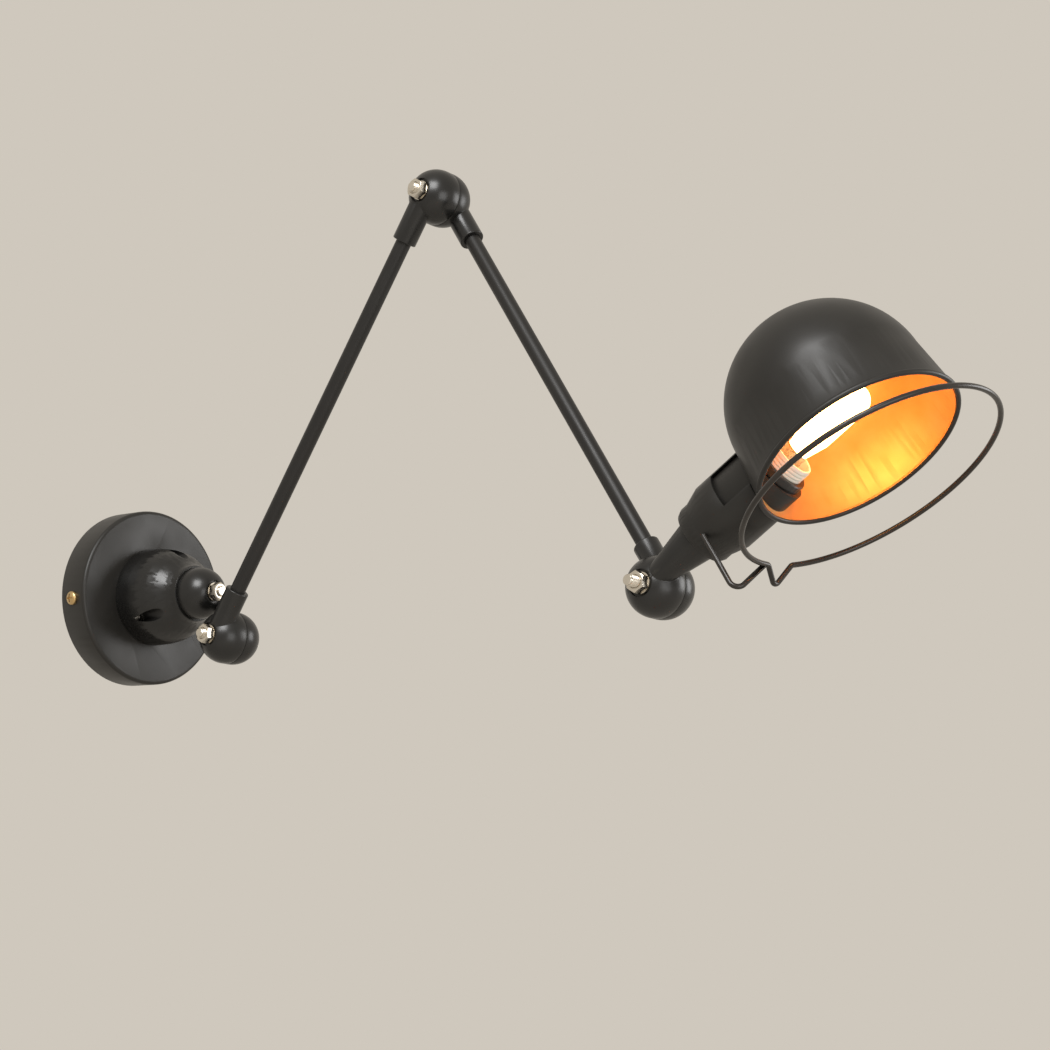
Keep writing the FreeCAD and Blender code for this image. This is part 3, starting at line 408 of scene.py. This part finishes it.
CANOPY_COAT = PowderCoat("satin_black_powder_coat_canopy", "#1c1b19", "#252320")
SHADE_COAT = PowderCoat("satin_black_powder_coat_shade", "#1a1917", "#23211e")
TUBE_COAT = PowderCoat("satin_black_powder_coat_tube", "#161514", "#1f1d1b")
WIRE_COAT = PowderCoat("satin_black_powder_coat_wire", "#24211e", "#2f2a25", Sheen.HALF_GLOSS)
CASTING = StoveEnamel("black_stove_enamel_on_casting", "#121211", "#1a1918")
NICKEL = PlatedMetal("bright_nickel_plate", "#c9c2b6", "#e6dfd2")
POCKET_NICKEL = PlatedMetal("dull_nickel_plate", "#a9a399", "#c6c0b5", 0.26)
ZINC = PlatedMetal("zinc_plated_sheet", "#aeb1b3", "#c8cacb", 0.32)
BRASS = PlatedMetal("turned_brass", "#b98d4a", "#d3ab68", 0.24)
BRASS_SCREW = PlatedMetal("dull_brass_screw", "#c2a06a", "#dcc294", 0.26)
CAP_METAL = PlatedMetal("pressed_nickel_brass_cap", "#b9b5ab", "#d6d1c6", 0.22)
POLYAMIDE = Moulding("moulded_natural_polyamide", "#d8d6cd", "#e6e4dc", 0.42)
THERMOSET = Moulding("white_thermoset", "#e2ddd0", "#efeadf", 0.3)
# The shade ring's black is partly its own moulding and partly painted shade: it stands for the
# shadowed gap round the lampholder.
RING_THERMOSET_PAINTED_SHADE = Moulding("black_thermoset_painted_gap_shade", "#1c1b1a", "#262423", 0.32)
SLEEVE = Moulding("silicone_wire_sleeve", "#d9d5c8", "#e6e2d6", 0.5)
PHENOLIC = PressedPaper("phenolic_paper", "#5a3820")
BULB_GLASS = GlowingGlass("frosted_bulb_glass", "#fff0da")
INNER_LACQUER = WarmEnamel("golden_lacquer", "#d79b4e")

SLOT_FINISH: dict[str, Finish] = {
    "bracket_zinc": ZINC,
    "canopy_paint": CANOPY_COAT,
    "side_screw_brass": BRASS_SCREW,
    "terminal_plastic": POLYAMIDE,
    "brass": BRASS,
    "casting_paint": CASTING,
    "tube_paint": TUBE_COAT,
    "pocket_screw_nickel": POCKET_NICKEL,
    "wire_insulation": SLEEVE,
    "insulating_plate": PHENOLIC,
    "joint_nickel": NICKEL,
    "housing_paint": SHADE_COAT,
    "shade_paint": SHADE_COAT,
    "guard_paint": WIRE_COAT,
    "lampholder_white": THERMOSET,
    "ring_plastic": RING_THERMOSET_PAINTED_SHADE,
    "bulb_frosted": BULB_GLASS,
    "bulb_cap_metal": CAP_METAL,
}


# ------------------------------------------------------------------ modelling helpers
def pick(*objects: bpy.types.Object) -> None:
    """Select only these objects and make the last one active."""
    bpy.ops.object.select_all(action="DESELECT")
    for item in objects:
        item.select_set(True)
    bpy.context.view_layer.objects.active = objects[-1]


def apply_modifiers(item: bpy.types.Object) -> None:
    """Apply every modifier of one object, in order."""
    pick(item)
    for modifier in list(item.modifiers):
        bpy.ops.object.modifier_apply(modifier=modifier.name)


def edit(item: bpy.types.Object, *steps: Callable[[], Any]) -> None:
    """Run edit-mode steps on one object.

    Args:
        item: the mesh object.
        steps: functions that run operators in edit mode.
    """
    pick(item)
    bpy.ops.object.mode_set(mode="EDIT")
    for step in steps:
        step()
    bpy.ops.object.mode_set(mode="OBJECT")


def clean() -> None:
    """Merge doubled points of the mesh in edit mode and turn its faces outwards."""
    bpy.ops.mesh.select_all(action="SELECT")
    bpy.ops.mesh.remove_doubles(threshold=MERGE_M)
    bpy.ops.mesh.normals_make_consistent(inside=False)


def lathe(name: str, outline: Sequence[tuple[float, float]], steps: int = 72) -> bpy.types.Object:
    """Turn a shape about its own Z axis.

    A single point is extruded along the outline, and a screw modifier turns it.

    Args:
        name: the new object's name.
        outline: radius and height of each corner, in millimetres.
        steps: how many flats go round.

    Returns:
        The new object, at the origin.
    """
    bpy.ops.object.select_all(action="DESELECT")
    bpy.ops.mesh.primitive_plane_add(size=MM)
    item = bpy.context.object
    item.name = name
    points = [Vector((r, 0.0, z)) * MM for r, z in outline]

    def draw() -> None:
        """Collapse the plane to the first point and extrude it along the outline."""
        bpy.ops.mesh.select_all(action="SELECT")
        bpy.ops.mesh.merge(type="CENTER")
        bpy.ops.transform.translate(value=points[0])
        for here, there in zip(points, points[1:]):
            bpy.ops.mesh.extrude_region_move(TRANSFORM_OT_translate={"value": there - here})

    edit(item, draw)
    turn = item.modifiers.new("turn", "SCREW")
    turn.steps = steps
    turn.render_steps = steps
    turn.use_merge_vertices = True
    turn.merge_threshold = MERGE_M
    apply_modifiers(item)
    edit(item, clean)
    return item


def boolean(item: bpy.types.Object, tool: bpy.types.Object, operation: str) -> None:
    """Combine an object with a tool shape, then drop the tool.

    Args:
        item: the object to change.
        tool: the shape that changes it.
        operation: what the boolean modifier does, such as DIFFERENCE.
    """
    step = item.modifiers.new("shape", "BOOLEAN")
    step.operation = operation
    step.object = tool
    step.solver = "EXACT"
    apply_modifiers(item)
    bpy.data.objects.remove(tool)


def soften_edges(item: bpy.types.Object, width_mm: float, angle: float = 35.0) -> None:
    """Round the sharp edges of an object.

    Args:
        item: the object to change.
        width_mm: how wide the rounding is.
        angle: edges sharper than this are rounded.
    """
    bevel = item.modifiers.new("edge", "BEVEL")
    bevel.width = width_mm * MM
    bevel.segments = 2
    bevel.limit_method = "ANGLE"
    bevel.angle_limit = math.radians(angle)
    bevel.use_clamp_overlap = True
    apply_modifiers(item)


def smooth(item: bpy.types.Object, angle: float) -> None:
    """Shade an object smoothly across edges that are flatter than an angle."""
    pick(item)
    bpy.ops.object.shade_smooth_by_angle(angle=math.radians(angle))


def frame_from(origin: Vector, x_axis: Vector, z_axis: Vector) -> Matrix:
    """A right-handed frame from its origin, x axis and z axis.

    Args:
        origin: where it stands.
        x_axis: its x axis.
        z_axis: its z axis, at a right angle to the x axis.

    Returns:
        The matrix that takes local points to the lamp's frame.
    """
    x = x_axis.normalized()
    z = z_axis.normalized()
    y = z.cross(x)
    return Matrix.Translation(origin) @ Matrix((x, y, z)).transposed().to_4x4()


UP = Vector((0.0, 0.0, 1.0))
RIGHT = Vector((1.0, 0.0, 0.0))
OUT = Vector((0.0, -1.0, 0.0))


def upright(origin: Vector, pole: Vector) -> Matrix:
    """A frame whose z axis is a level pole and whose y axis points up."""
    return frame_from(origin, UP.cross(pole), pole)


def join(items: Sequence[bpy.types.Object]) -> bpy.types.Object:
    """Join objects into one.

    Args:
        items: the objects to join; the last one stays.

    Returns:
        The joined object.
    """
    pick(*items)
    bpy.ops.object.join()
    return bpy.context.view_layer.objects.active


def block(size_mm: Sequence[float], middle_mm: Sequence[float]) -> bpy.types.Object:
    """A plain box to cut with.

    Args:
        size_mm: its length along x, y and z.
        middle_mm: where its middle lies.

    Returns:
        The box.
    """
    bpy.ops.object.select_all(action="DESELECT")
    bpy.ops.mesh.primitive_cube_add(size=MM)
    item = bpy.context.object
    place = Matrix.Translation(Vector(middle_mm) * MM)
    item.data.transform(place @ Matrix.Diagonal((*size_mm, 1.0)))
    return item


# Where a thread's crest starts and ends within one pitch.
CREST = (0.4, 0.6)


def thread(radius: float, depth: float, pitch: float, low: float,
           high: float) -> list[tuple[float, float]]:
    """Crests and roots of a thread as an outline, in millimetres.

    Args:
        radius: radius of the crests.
        depth: how deep the roots lie.
        pitch: from one crest to the next.
        low: where the thread starts.
        high: where it ends.

    Returns:
        Radius and height of each corner, from low to high.
    """
    turns = int((high - low) / pitch)
    corners = []
    for turn in range(turns):
        start = low + turn * pitch
        corners += [(radius - depth, start), (radius, start + CREST[0] * pitch),
                    (radius, start + CREST[1] * pitch)]
    return corners + [(radius - depth, low + turns * pitch)]


def arc(radius: float, height: float, base: float, steps: int = 8) -> list[tuple[float, float]]:
    """A quarter ellipse from the rim to the axis, for a domed end.

    Args:
        radius: radius of the rim, in millimetres.
        height: how high the dome rises over the rim.
        base: height of the rim.
        steps: how many straight lines it is made of.

    Returns:
        Radius and height of each corner, from the rim to the axis.
    """
    turns = [math.pi / 2 * step / steps for step in range(steps + 1)]
    return [(radius * math.cos(t), base + height * math.sin(t)) for t in turns]


def hexagon(name: str, flat: float, low: float, high: float) -> bpy.types.Object:
    """A hexagonal prism with both its corners turned off, corners on its y axis.

    Args:
        name: the object's name.
        flat: half its width across flats, in millimetres.
        low: its lower end.
        high: its upper end.

    Returns:
        The prism.
    """
    corner = flat / math.cos(math.pi / 6)
    land = flat * 0.96
    wide = corner * 1.05
    bpy.ops.object.select_all(action="DESELECT")
    bpy.ops.mesh.primitive_cylinder_add(vertices=6, radius=corner * MM, depth=(high - low) * MM)
    item = bpy.context.object
    item.name = name
    item.data.transform(Matrix.Translation((0.0, 0.0, (low + high) / 2 * MM)))
    bite = (corner - land) * math.tan(math.pi / 6)
    past = bite * 1.2
    limits = lathe(name + "_limits", (
        (0.0, low), (land, low), (corner, low + bite), (wide, low + past),
        (wide, high - past), (corner, high - bite), (land, high), (0.0, high)))
    boolean(item, limits, "INTERSECT")
    return item


# ------------------------------------------------------------------ the frame's bench
@dataclass
class Bench:
    """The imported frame, with what each node is made of and which body carries it."""

    frame: dict[str, Any]
    slot_of: dict[str, str] = field(default_factory=dict)
    body_of: dict[str, str] = field(default_factory=dict)
    joint: dict[str, Vector] = field(default_factory=dict)

    def __post_init__(self) -> None:
        """Read the record's tables once."""
        record = self.frame["record"]
        self.slot_of = {part["node"]: part["material_slot"] for part in record["subparts"]}
        groups = record["behaviour"]["bodies"]
        self.body_of = {node: body for body, nodes in groups.items() for node in nodes}
        self.joint = {item["name"]: Vector(item["pos_m"]) for item in self.frame["joints"]}

    def dress(self, node: str) -> None:
        """Give a CAD node the finish of its slot."""
        item = self.frame["nodes"][node]
        material = SLOT_FINISH[self.slot_of[node]].material()
        item.data.materials.clear()
        item.data.materials.append(material)

    def extent(self, node: str, matrix: Matrix, within_mm: float = 40.0) -> tuple[float, float]:
        """How far a node's piece reaches along an axis.

        Args:
            node: the CAD node.
            matrix: the frame whose z axis is the axis.
            within_mm: pieces farther from the axis than this don't count.

        Returns:
            Its low and high end in millimetres.
        """
        inverse = matrix.inverted()
        points = [inverse @ vertex.co / MM for vertex in self.frame["nodes"][node].data.vertices]
        heights = [point.z for point in points if math.hypot(point.x, point.y) < within_mm]
        return min(heights), max(heights)

    def place(self, item: bpy.types.Object, name: str, node: str,
              matrix: Matrix | None = None) -> None:
        """Finish a modelled piece: into place, onto its body, into its slot and material.

        Args:
            item: the modelled object, in its own frame.
            name: the piece's name.
            node: the CAD node whose body and slot it takes.
            matrix: takes the piece's frame to the lamp's.
        """
        item.name = name
        item.data.name = name
        if matrix is not None:
            item.data.transform(matrix)
        if not item.data.materials:
            item.data.materials.append(SLOT_FINISH[self.slot_of[node]].material())
        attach(item, self.body_of[node])

    def instead(self, item: bpy.types.Object, node: str, matrix: Matrix | None = None,
                angle: float = 32.0) -> None:
        """Let a modelled piece stand in for a whole CAD node.

        Args:
            item: the modelled object.
            node: the node it replaces.
            matrix: takes the piece's frame to the lamp's.
            angle: edges flatter than this are shaded smoothly.
        """
        smooth(item, angle)
        self.place(item, node + "_fine", node, matrix)
        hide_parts(node)
        LOG.info("%s: %d faces", item.name, len(item.data.polygons))

    def copied(self, node: str) -> bpy.types.Object:
        """A clean copy of a CAD node's mesh to refine.

        Args:
            node: the CAD node.

        Returns:
            The copy, with its loose triangles merged.
        """
        source = self.frame["nodes"][node]
        item = bpy.data.objects.new(node + "_copy", source.data.copy())
        bpy.context.scene.collection.objects.link(item)
        item.data.materials.clear()

        def join_faces() -> None:
            """Merge the loose triangles and drop the lines across flat faces."""
            bpy.ops.mesh.select_all(action="SELECT")
            bpy.ops.mesh.remove_doubles(threshold=COPY_MERGE_M)
            bpy.ops.mesh.dissolve_limited(angle_limit=math.radians(FLAT_DEG))

        edit(item, join_faces)
        return item

    def rounded(self, node: str, width_mm: float) -> None:
        """Replace a CAD node by its own shape with the sharp edges rounded.

        Args:
            node: the node to replace.
            width_mm: how wide the rounding is.
        """
        item = self.copied(node)
        soften_edges(item, width_mm)
        self.instead(item, node)


# ------------------------------------------------------------------ screws and joint hardware
class Recess(Enum):
    """What a screwdriver finds in a screw's head."""

    SLOT = "slot"
    CROSS = "cross"


@dataclass
class PanScrew:
    """A pan-head machine screw; its head stands on z = 0."""

    head_mm: float
    height_mm: float
    shank_mm: float
    length_mm: float
    recess: Recess
    groove_mm: float = 0.9
    side_share: float = 0.3
    sink_share: float = 0.6
    slot_reach: float = 3.0
    cross_reach: float = 1.2
    thread_depth_mm: float = 0.35
    pitch_mm: float = 0.8
    runout_mm: float = 0.4
    steps: int = 40

    def build(self, name: str) -> bpy.types.Object:
        """Turn the screw and sink its recess.

        Args:
            name: the object's name.

        Returns:
            The screw.
        """
        rim = self.height_mm * self.side_share
        root = self.shank_mm - self.thread_depth_mm
        outline = [(0.0, -self.length_mm), (root, -self.length_mm)]
        outline += thread(self.shank_mm, self.thread_depth_mm, self.pitch_mm, -self.length_mm,
                          -self.runout_mm)
        outline += [(self.shank_mm, 0.0), (self.head_mm, 0.0)]
        outline += arc(self.head_mm, self.height_mm - rim, rim)
        item = lathe(name, outline, self.steps)
        depth = self.height_mm * self.sink_share
        is_slot = self.recess is Recess.SLOT
        reach = self.head_mm * (self.slot_reach if is_slot else self.cross_reach)
        middle = (0.0, 0.0, self.height_mm)
        boolean(item, block((reach, self.groove_mm, 2 * depth), middle), "DIFFERENCE")
        if self.recess is Recess.CROSS:
            boolean(item, block((self.groove_mm, reach, 2 * depth), middle), "DIFFERENCE")
        return item


@dataclass
class JointHardware:
    """The bolt, spring washer and nut that clamp ball joints of one body."""

    bench: Bench
    joints: tuple[str, ...]
    pole: Vector
    bolt_node: str
    washer_node: str
    nut_node: str
    thread_mm: float = 3.5
    depth_mm: float = 0.45
    pitch_mm: float = 1.0
    chamfer_mm: float = 0.9
    flat_mm: float = 5.5
    head_mm: float = 4.8
    washer_mm: float = 6.15
    split_mm: float = 0.7
    root_mm: float = 0.2
    runout_mm: float = 0.3
    fit_mm: float = 0.02
    sink_mm: float = 0.45
    washer_gap_mm: float = 0.1
    washer_edge_mm: float = 0.2
    steps: int = 48
    washer_steps: int = 64

    def frames(self) -> list[Matrix]:
        """One upright frame for each joint, z out of the nut's pole."""
        return [upright(self.bench.joint[name], self.pole) for name in self.joints]

    def bolt(self, matrix: Matrix) -> bpy.types.Object:
        """A hexagon bolt with a threaded, chamfered end.

        Args:
            matrix: the joint's frame.

        Returns:
            The bolt, in place.
        """
        low, high = self.bench.extent(self.bolt_node, matrix)
        start = self.bench.extent(self.nut_node, matrix)[1] - self.pitch_mm
        collar = low + self.head_mm
        root = collar - self.root_mm
        outline = [(0.0, root), (self.thread_mm, root), (self.thread_mm, start - self.runout_mm)]
        outline += thread(self.thread_mm, self.depth_mm, self.pitch_mm, start,
                          high - self.chamfer_mm)
        outline += [(self.thread_mm - self.depth_mm, high - self.chamfer_mm / 2),
                    (self.thread_mm - self.chamfer_mm, high), (0.0, high)]
        shank = lathe("bolt_shank", outline, self.steps)
        item = join([shank, hexagon("bolt_head", self.flat_mm, low, collar)])
        item.data.transform(matrix)
        return item

    def nut(self, matrix: Matrix) -> bpy.types.Object:
        """A hexagon nut with its bore countersunk.

        Args:
            matrix: the joint's frame.

        Returns:
            The nut, in place.
        """
        low, high = self.bench.extent(self.nut_node, matrix)
        item = hexagon("nut", self.flat_mm, low, high)
        bore = self.thread_mm + self.fit_mm
        sink = bore + self.sink_mm
        past, rim, run = 1.0, 0.1, 0.5
        outline = ((0.0, low - past), (sink, low - past), (sink, low + rim), (bore, low + run),
                   (bore, high - run), (sink, high - rim), (sink, high + past),
                   (0.0, high + past))
        boolean(item, lathe("bore", outline, self.steps), "DIFFERENCE")
        item.data.transform(matrix)
        return item

    def washer(self, matrix: Matrix) -> bpy.types.Object:
        """A split spring washer with softened edges.

        Args:
            matrix: the joint's frame.

        Returns:
            The washer, in place.
        """
        low, high = self.bench.extent(self.washer_node, matrix)
        bore = self.thread_mm + self.washer_gap_mm
        wide = self.washer_mm
        item = lathe("washer", ((bore, low), (wide, low), (wide, high), (bore, high),
                                (bore, low)), self.washer_steps)
        cutter = block((self.split_mm, wide, 8.0), (0.0, -wide, (low + high) / 2))
        boolean(item, cutter, "DIFFERENCE")
        soften_edges(item, self.washer_edge_mm)
        item.data.transform(matrix)
        return item

    def build(self) -> None:
        """Make each kind of fastener for all joints and put it in place of its node."""
        for make, node in ((self.bolt, self.bolt_node), (self.washer, self.washer_node),
                           (self.nut, self.nut_node)):
            self.bench.instead(join([make(matrix) for matrix in self.frames()]), node)


# ------------------------------------------------------------------ sub-assemblies
SIDE_SCREW = PanScrew(4.65, 3.0, 2.45, 9.9, Recess.CROSS)
BOSS_SCREW = PanScrew(3.65, 2.6, 1.95, 15.0, Recess.SLOT)
WALL_EDGES_MM = {"mounting_bracket": 0.3, "canopy": 0.4, "boss": 0.6, "terminal_block": 0.5}


@dataclass
class WallSide:
    """Bracket, canopy, cast boss and their screws."""

    bench: Bench
    canopy_mm: float = 60.05
    canopy_middle_mm: float = 11.5
    side_turn_deg: float = 8.0
    circle_mm: float = 28.3
    first_deg: float = 97.0
    third_deg: float = 120.0

    def side_screws(self) -> bpy.types.Object:
        """Two screws that enter the bracket's tabs through the canopy's side.

        Returns:
            Both screws as one object.
        """
        screws = []
        for half_turn in (180.0, 0.0):
            turn = math.radians(half_turn + self.side_turn_deg)
            way = Vector((math.cos(turn), 0.0, math.sin(turn)))
            item = SIDE_SCREW.build("side_screw")
            spot = (way * self.canopy_mm + OUT * self.canopy_middle_mm) * MM
            item.data.transform(frame_from(spot, OUT, way))
            screws.append(item)
        return join(screws)

    def boss_screws(self) -> bpy.types.Object:
        """Three screws deep in the boss's pockets.

        Returns:
            The screws as one object.
        """
        top = self.bench.extent("boss_screws", upright(Vector(), OUT))[1]
        seat = top - BOSS_SCREW.height_mm
        screws = []
        for third in range(3):
            turn = math.radians(self.first_deg + third * self.third_deg)
            spot = Vector((math.cos(turn), 0.0, math.sin(turn))) * self.circle_mm + OUT * seat
            item = BOSS_SCREW.build("boss_screw")
            item.data.transform(upright(spot * MM, OUT))
            screws.append(item)
        return join(screws)

    def build(self) -> None:
        """Round the pressed and cast pieces and set the screws."""
        for node, width in WALL_EDGES_MM.items():
            self.bench.rounded(node, width)
        self.bench.instead(self.side_screws(), "canopy_side_screws")
        self.bench.instead(self.boss_screws(), "boss_screws")


@dataclass
class Arms:
    """Knuckle, half balls and the hardware that clamps them."""

    bench: Bench
    edge_mm: float = 0.55

    def build(self) -> None:
        """Round the castings and clamp every joint."""
        for node in ("knuckle", "shoulder_half", "elbow_lower_half", "elbow_upper_half",
                     "head_upper_half", "head_lower_half"):
            self.bench.rounded(node, self.edge_mm)
        for joints, pole, label in ((("swivel",), OUT, "swivel_{}"),
                                    (("shoulder", "elbow"), -RIGHT, "arm_{}s"),
                                    (("head_tilt",), -RIGHT, "head_{}")):
            nodes = [label.format(kind) for kind in ("bolt", "washer", "nut")]
            JointHardware(self.bench, joints, pole, *nodes).build()


@dataclass
class Head:
    """Housing, shade, guard, lampholder and bulb; sizes run along the lampholder's axis."""

    bench: Bench
    axis_deg: float = 34.5
    side_mm: float = 11.5
    mouth_reach_mm: float = 143.0
    mouth_drop_mm: float = 24.0
    dome_mm: float = 54.6
    skirt_mm: float = 32.2
    mouth_mm: float = 57.6
    sheet_mm: float = 1.0
    holder_mm: float = 13.6
    cap_mm: float = 6.95
    glass_mm: float = 8.95
    housing_edge_mm: float = 0.4
    shade_edge_mm: float = 0.25
    near_share: float = 0.5
    far_share: float = 2.2

    def axis(self, turn_deg: float = 0.0) -> Vector:
        """A direction in the head's middle plane.

        Args:
            turn_deg: how far it is turned upwards from the lampholder's axis.

        Returns:
            The direction.
        """
        turn = math.radians(self.axis_deg + turn_deg)
        return Vector((0.0, -math.cos(turn), math.sin(turn)))

    def origin(self) -> Vector:
        """Where the lampholder's axis passes the tilting joint."""
        return self.bench.joint["head_tilt"] - RIGHT * self.side_mm * MM

    def along(self) -> Matrix:
        """A frame whose z axis is the lampholder's axis."""
        return frame_from(self.origin(), RIGHT, self.axis())

    def mouth(self) -> Matrix:
        """A frame at the middle of the shade's mouth, z up through the dome."""
        above = self.axis(90.0)
        way = self.axis() * self.mouth_reach_mm - above * self.mouth_drop_mm
        return frame_from(self.origin() + way * MM, self.axis(), above)

    def is_inside(self, point: Vector) -> bool:
        """Whether a point lies on the dome's inner face.

        Args:
            point: the point in the mouth's frame, in millimetres.

        Returns:
            True on the inner face.
        """
        spread = math.hypot(point.x, point.y)
        if point.z > self.skirt_mm:
            outer = self.dome_mm
            spread = math.hypot(spread, point.z - self.skirt_mm)
        else:
            outer = self.mouth_mm + (self.dome_mm - self.mouth_mm) * point.z / self.skirt_mm
        depth = outer - spread
        is_within = self.far_share * self.sheet_mm > depth > self.near_share * self.sheet_mm
        return is_within and point.z > 0.0

    def shade(self) -> None:
        """The spun shade: black outside, golden lacquer on the inner face."""
        item = self.bench.copied("shade")
        soften_edges(item, self.shade_edge_mm)
        item.data.materials.append(SHADE_COAT.material())
        item.data.materials.append(INNER_LACQUER.material())
        inverse = self.mouth().inverted()
        for face in item.data.polygons:
            if self.is_inside(inverse @ face.center / MM):
                face.material_index = 1
        self.bench.instead(item, "shade")

    def lampholder(self) -> None:
        """A moulded lampholder with a coarse outer thread at its front."""
        back, front = self.bench.extent("lampholder", self.along())
        seat = self.bench.extent("shade_ring", self.along())[0]
        wide = self.holder_mm
        wall, entry, socket = wide - 1.8, 3.7, 8.0
        well, step = front - 6.0, back + 12.0
        outline = [(entry, back), (wide * 0.8, back), (wide, back + 3.0), (wide, seat)]
        outline += thread(wide, 0.45, 2.0, seat + 0.2, front - 0.8)
        outline += [(wide - 0.6, front - 0.1), (wide - 1.2, front), (wall, front - 0.2),
                    (wall, well), (socket, well), (socket, step), (entry, step), (entry, back)]
        self.bench.instead(lathe("lampholder", outline), "lampholder", self.along())

    def shade_ring(self) -> None:
        """A screwed ring with grip flats that holds the shade on the lampholder."""
        low, high = self.bench.extent("shade_ring", self.along())
        bore, face, wide, edge = self.holder_mm + 0.2, 16.3, 16.75, 0.5
        grip_flats, sharp = 30, 8.0
        # Its black finish paints the shadow in the gap round the lampholder as well as the ring
        # itself.
        item = lathe("shade_ring", ((bore, low), (face, low), (wide, low + edge),
                                    (wide, high - edge), (face, high), (bore, high),
                                    (bore, low)), grip_flats)
        self.bench.instead(item, "shade_ring", self.along(), sharp)

    def bulb(self) -> None:
        """A slim screw-cap bulb: rolled thread on the cap, glowing glass."""
        low, high = self.bench.extent("bulb_cap", self.along())
        wide = self.cap_mm
        blunt = 50.0
        outline = [(0.0, low), (wide / 2, low), (wide / 2, low + 1.2), (wide - 0.9, low + 4.0)]
        outline += thread(wide, 0.7, 2.8, low + 4.2, high - 2.6)
        outline += [(wide, high - 1.6), (wide, high), (0.0, high)]
        self.bench.instead(lathe("cap", outline), "bulb_cap", self.along(), blunt)
        start, tip = self.bench.extent("bulb_glass", self.along())
        glass = self.glass_mm
        shoulder = start + (tip - start) / 4
        neck, seat = 6.3, start + 0.05
        form = [(0.0, seat), (neck, seat), (glass, shoulder)]
        form += arc(glass, glass, tip - glass, 14)
        self.bench.instead(lathe("glass", form), "bulb_glass", self.along(), blunt)

    def build(self) -> None:
        """Build the whole head."""
        self.bench.rounded("housing", self.housing_edge_mm)
        self.shade()
        for node in ("guard_ring", "guard_bracket"):
            self.bench.instead(self.bench.copied(node), node, None, 60.0)
        self.lampholder()
        self.shade_ring()
        self.bulb()


# ------------------------------------------------------------------ studio
@dataclass
class Studio:
    """Camera, floor, soft lights and pale surroundings."""

    photo_px: float = 1050.0
    focal_px: float = 2005.6
    sensor_mm: float = 36.0
    eye: tuple[float, float, float] = (-0.88133, -1.10471, -0.19868)
    yaw_deg: float = 49.65
    pitch_deg: float = 10.81
    roll_deg: float = 2.70
    background: str = "#cfc8bd"
    middle: tuple[float, float, float] = (0.0, -0.32, 0.05)

    def camera(self) -> None:
        """Set the camera where the photograph was taken from."""
        yaw, pitch, roll = (math.radians(a) for a in (self.yaw_deg, self.pitch_deg, self.roll_deg))
        ahead = Vector((math.sin(yaw) * math.cos(pitch), math.cos(yaw) * math.cos(pitch),
                        math.sin(pitch)))
        level = Vector((math.cos(yaw), -math.sin(yaw), 0.0))
        above = level.cross(ahead)
        right = level * math.cos(roll) + above * math.sin(roll)
        upward = above * math.cos(roll) - level * math.sin(roll)
        data = bpy.data.cameras.new("camera")
        data.sensor_width = self.sensor_mm
        data.lens = self.focal_px / self.photo_px * self.sensor_mm
        data.clip_start = 0.01
        item = bpy.data.objects.new("camera", data)
        item.matrix_world = (Matrix.Translation(self.eye)
                             @ Matrix((right, upward, -ahead)).transposed().to_4x4())
        bpy.context.scene.collection.objects.link(item)
        bpy.context.scene.camera = item

    def softbox(self, name: str, place: Sequence[float], size: float, watts: float) -> None:
        """Hang one square soft white light that faces the lamp's middle.

        Args:
            name: its name.
            place: where it hangs.
            size: the length of its side.
            watts: its power.
        """
        data = bpy.data.lights.new(name, "AREA")
        data.shape = "SQUARE"
        data.size = size
        data.energy = watts
        item = bpy.data.objects.new(name, data)
        item.location = place
        ahead = Vector(self.middle) - Vector(place)
        item.rotation_euler = ahead.to_track_quat("-Z", "Y").to_euler()
        bpy.context.scene.collection.objects.link(item)

    def world(self) -> None:
        """Pale surroundings for the eye and for reflections, plain white light from all round."""
        world = bpy.data.worlds.new("pale_studio")
        world.use_nodes = True
        bpy.context.scene.world = world
        tree = world.node_tree
        tree.nodes.clear()
        path = add_node(tree, "LightPath")
        seen = add_node(tree, "Math", links={0: path.outputs["Is Camera Ray"],
                                             1: path.outputs["Is Glossy Ray"]}, operation="MAXIMUM")
        clear = add_node(tree, "Math", links={0: seen.outputs[0],
                                              1: path.outputs["Is Transmission Ray"]},
                         operation="MAXIMUM")
        shown = add_node(tree, "Background", {"Color": linear(self.background), "Strength": 1.0})
        light = add_node(tree, "Background", {"Color": linear("#f4f1ec"), "Strength": 0.45})
        mix = add_node(tree, "MixShader", links={0: clear.outputs[0], 1: light.outputs[0],
                                                 2: shown.outputs[0]})
        add_node(tree, "OutputWorld", links={"Surface": mix.outputs[0]})

    def floor(self) -> None:
        """A plain pale floor well under the lamp."""
        bpy.ops.object.select_all(action="DESELECT")
        bpy.ops.mesh.primitive_plane_add(size=2.4, location=(0.0, -0.4, -0.55))
        item = bpy.context.object
        item.name = "studio_floor"
        material = bpy.data.materials.new("matt_floor_paint")
        material.use_nodes = True
        shader = material.node_tree.nodes["Principled BSDF"]
        shader.inputs["Base Color"].default_value = linear(self.background)
        shader.inputs["Roughness"].default_value = 0.9
        item.data.materials.append(material)

    def build(self) -> None:
        """Set up the whole studio."""
        bpy.context.scene.view_settings.view_transform = "Standard"
        self.camera()
        self.world()
        self.floor()
        self.softbox("key_softbox", (-1.3, -0.9, 1.1), 0.9, 30.0)
        self.softbox("side_softbox", (1.3, -1.5, 0.3), 0.8, 10.0)
        self.softbox("front_softbox", (-0.6, -2.0, -0.1), 1.0, 8.0)


# ------------------------------------------------------------------ main
def main(frame: dict[str, Any]) -> None:
    """Build every sub-assembly in order and report it.
    """
    bench = Bench(frame)
    Studio().build()
    for node in frame["nodes"]:
        bench.dress(node)
    for part in (WallSide(bench), Arms(bench), Head(bench)):
        part.build()
        LOG.info("%s is built", type(part).__name__)


if __name__ == "__main__":
    logging.basicConfig(level=logging.INFO, format="%(message)s")
    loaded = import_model()
    main(loaded)
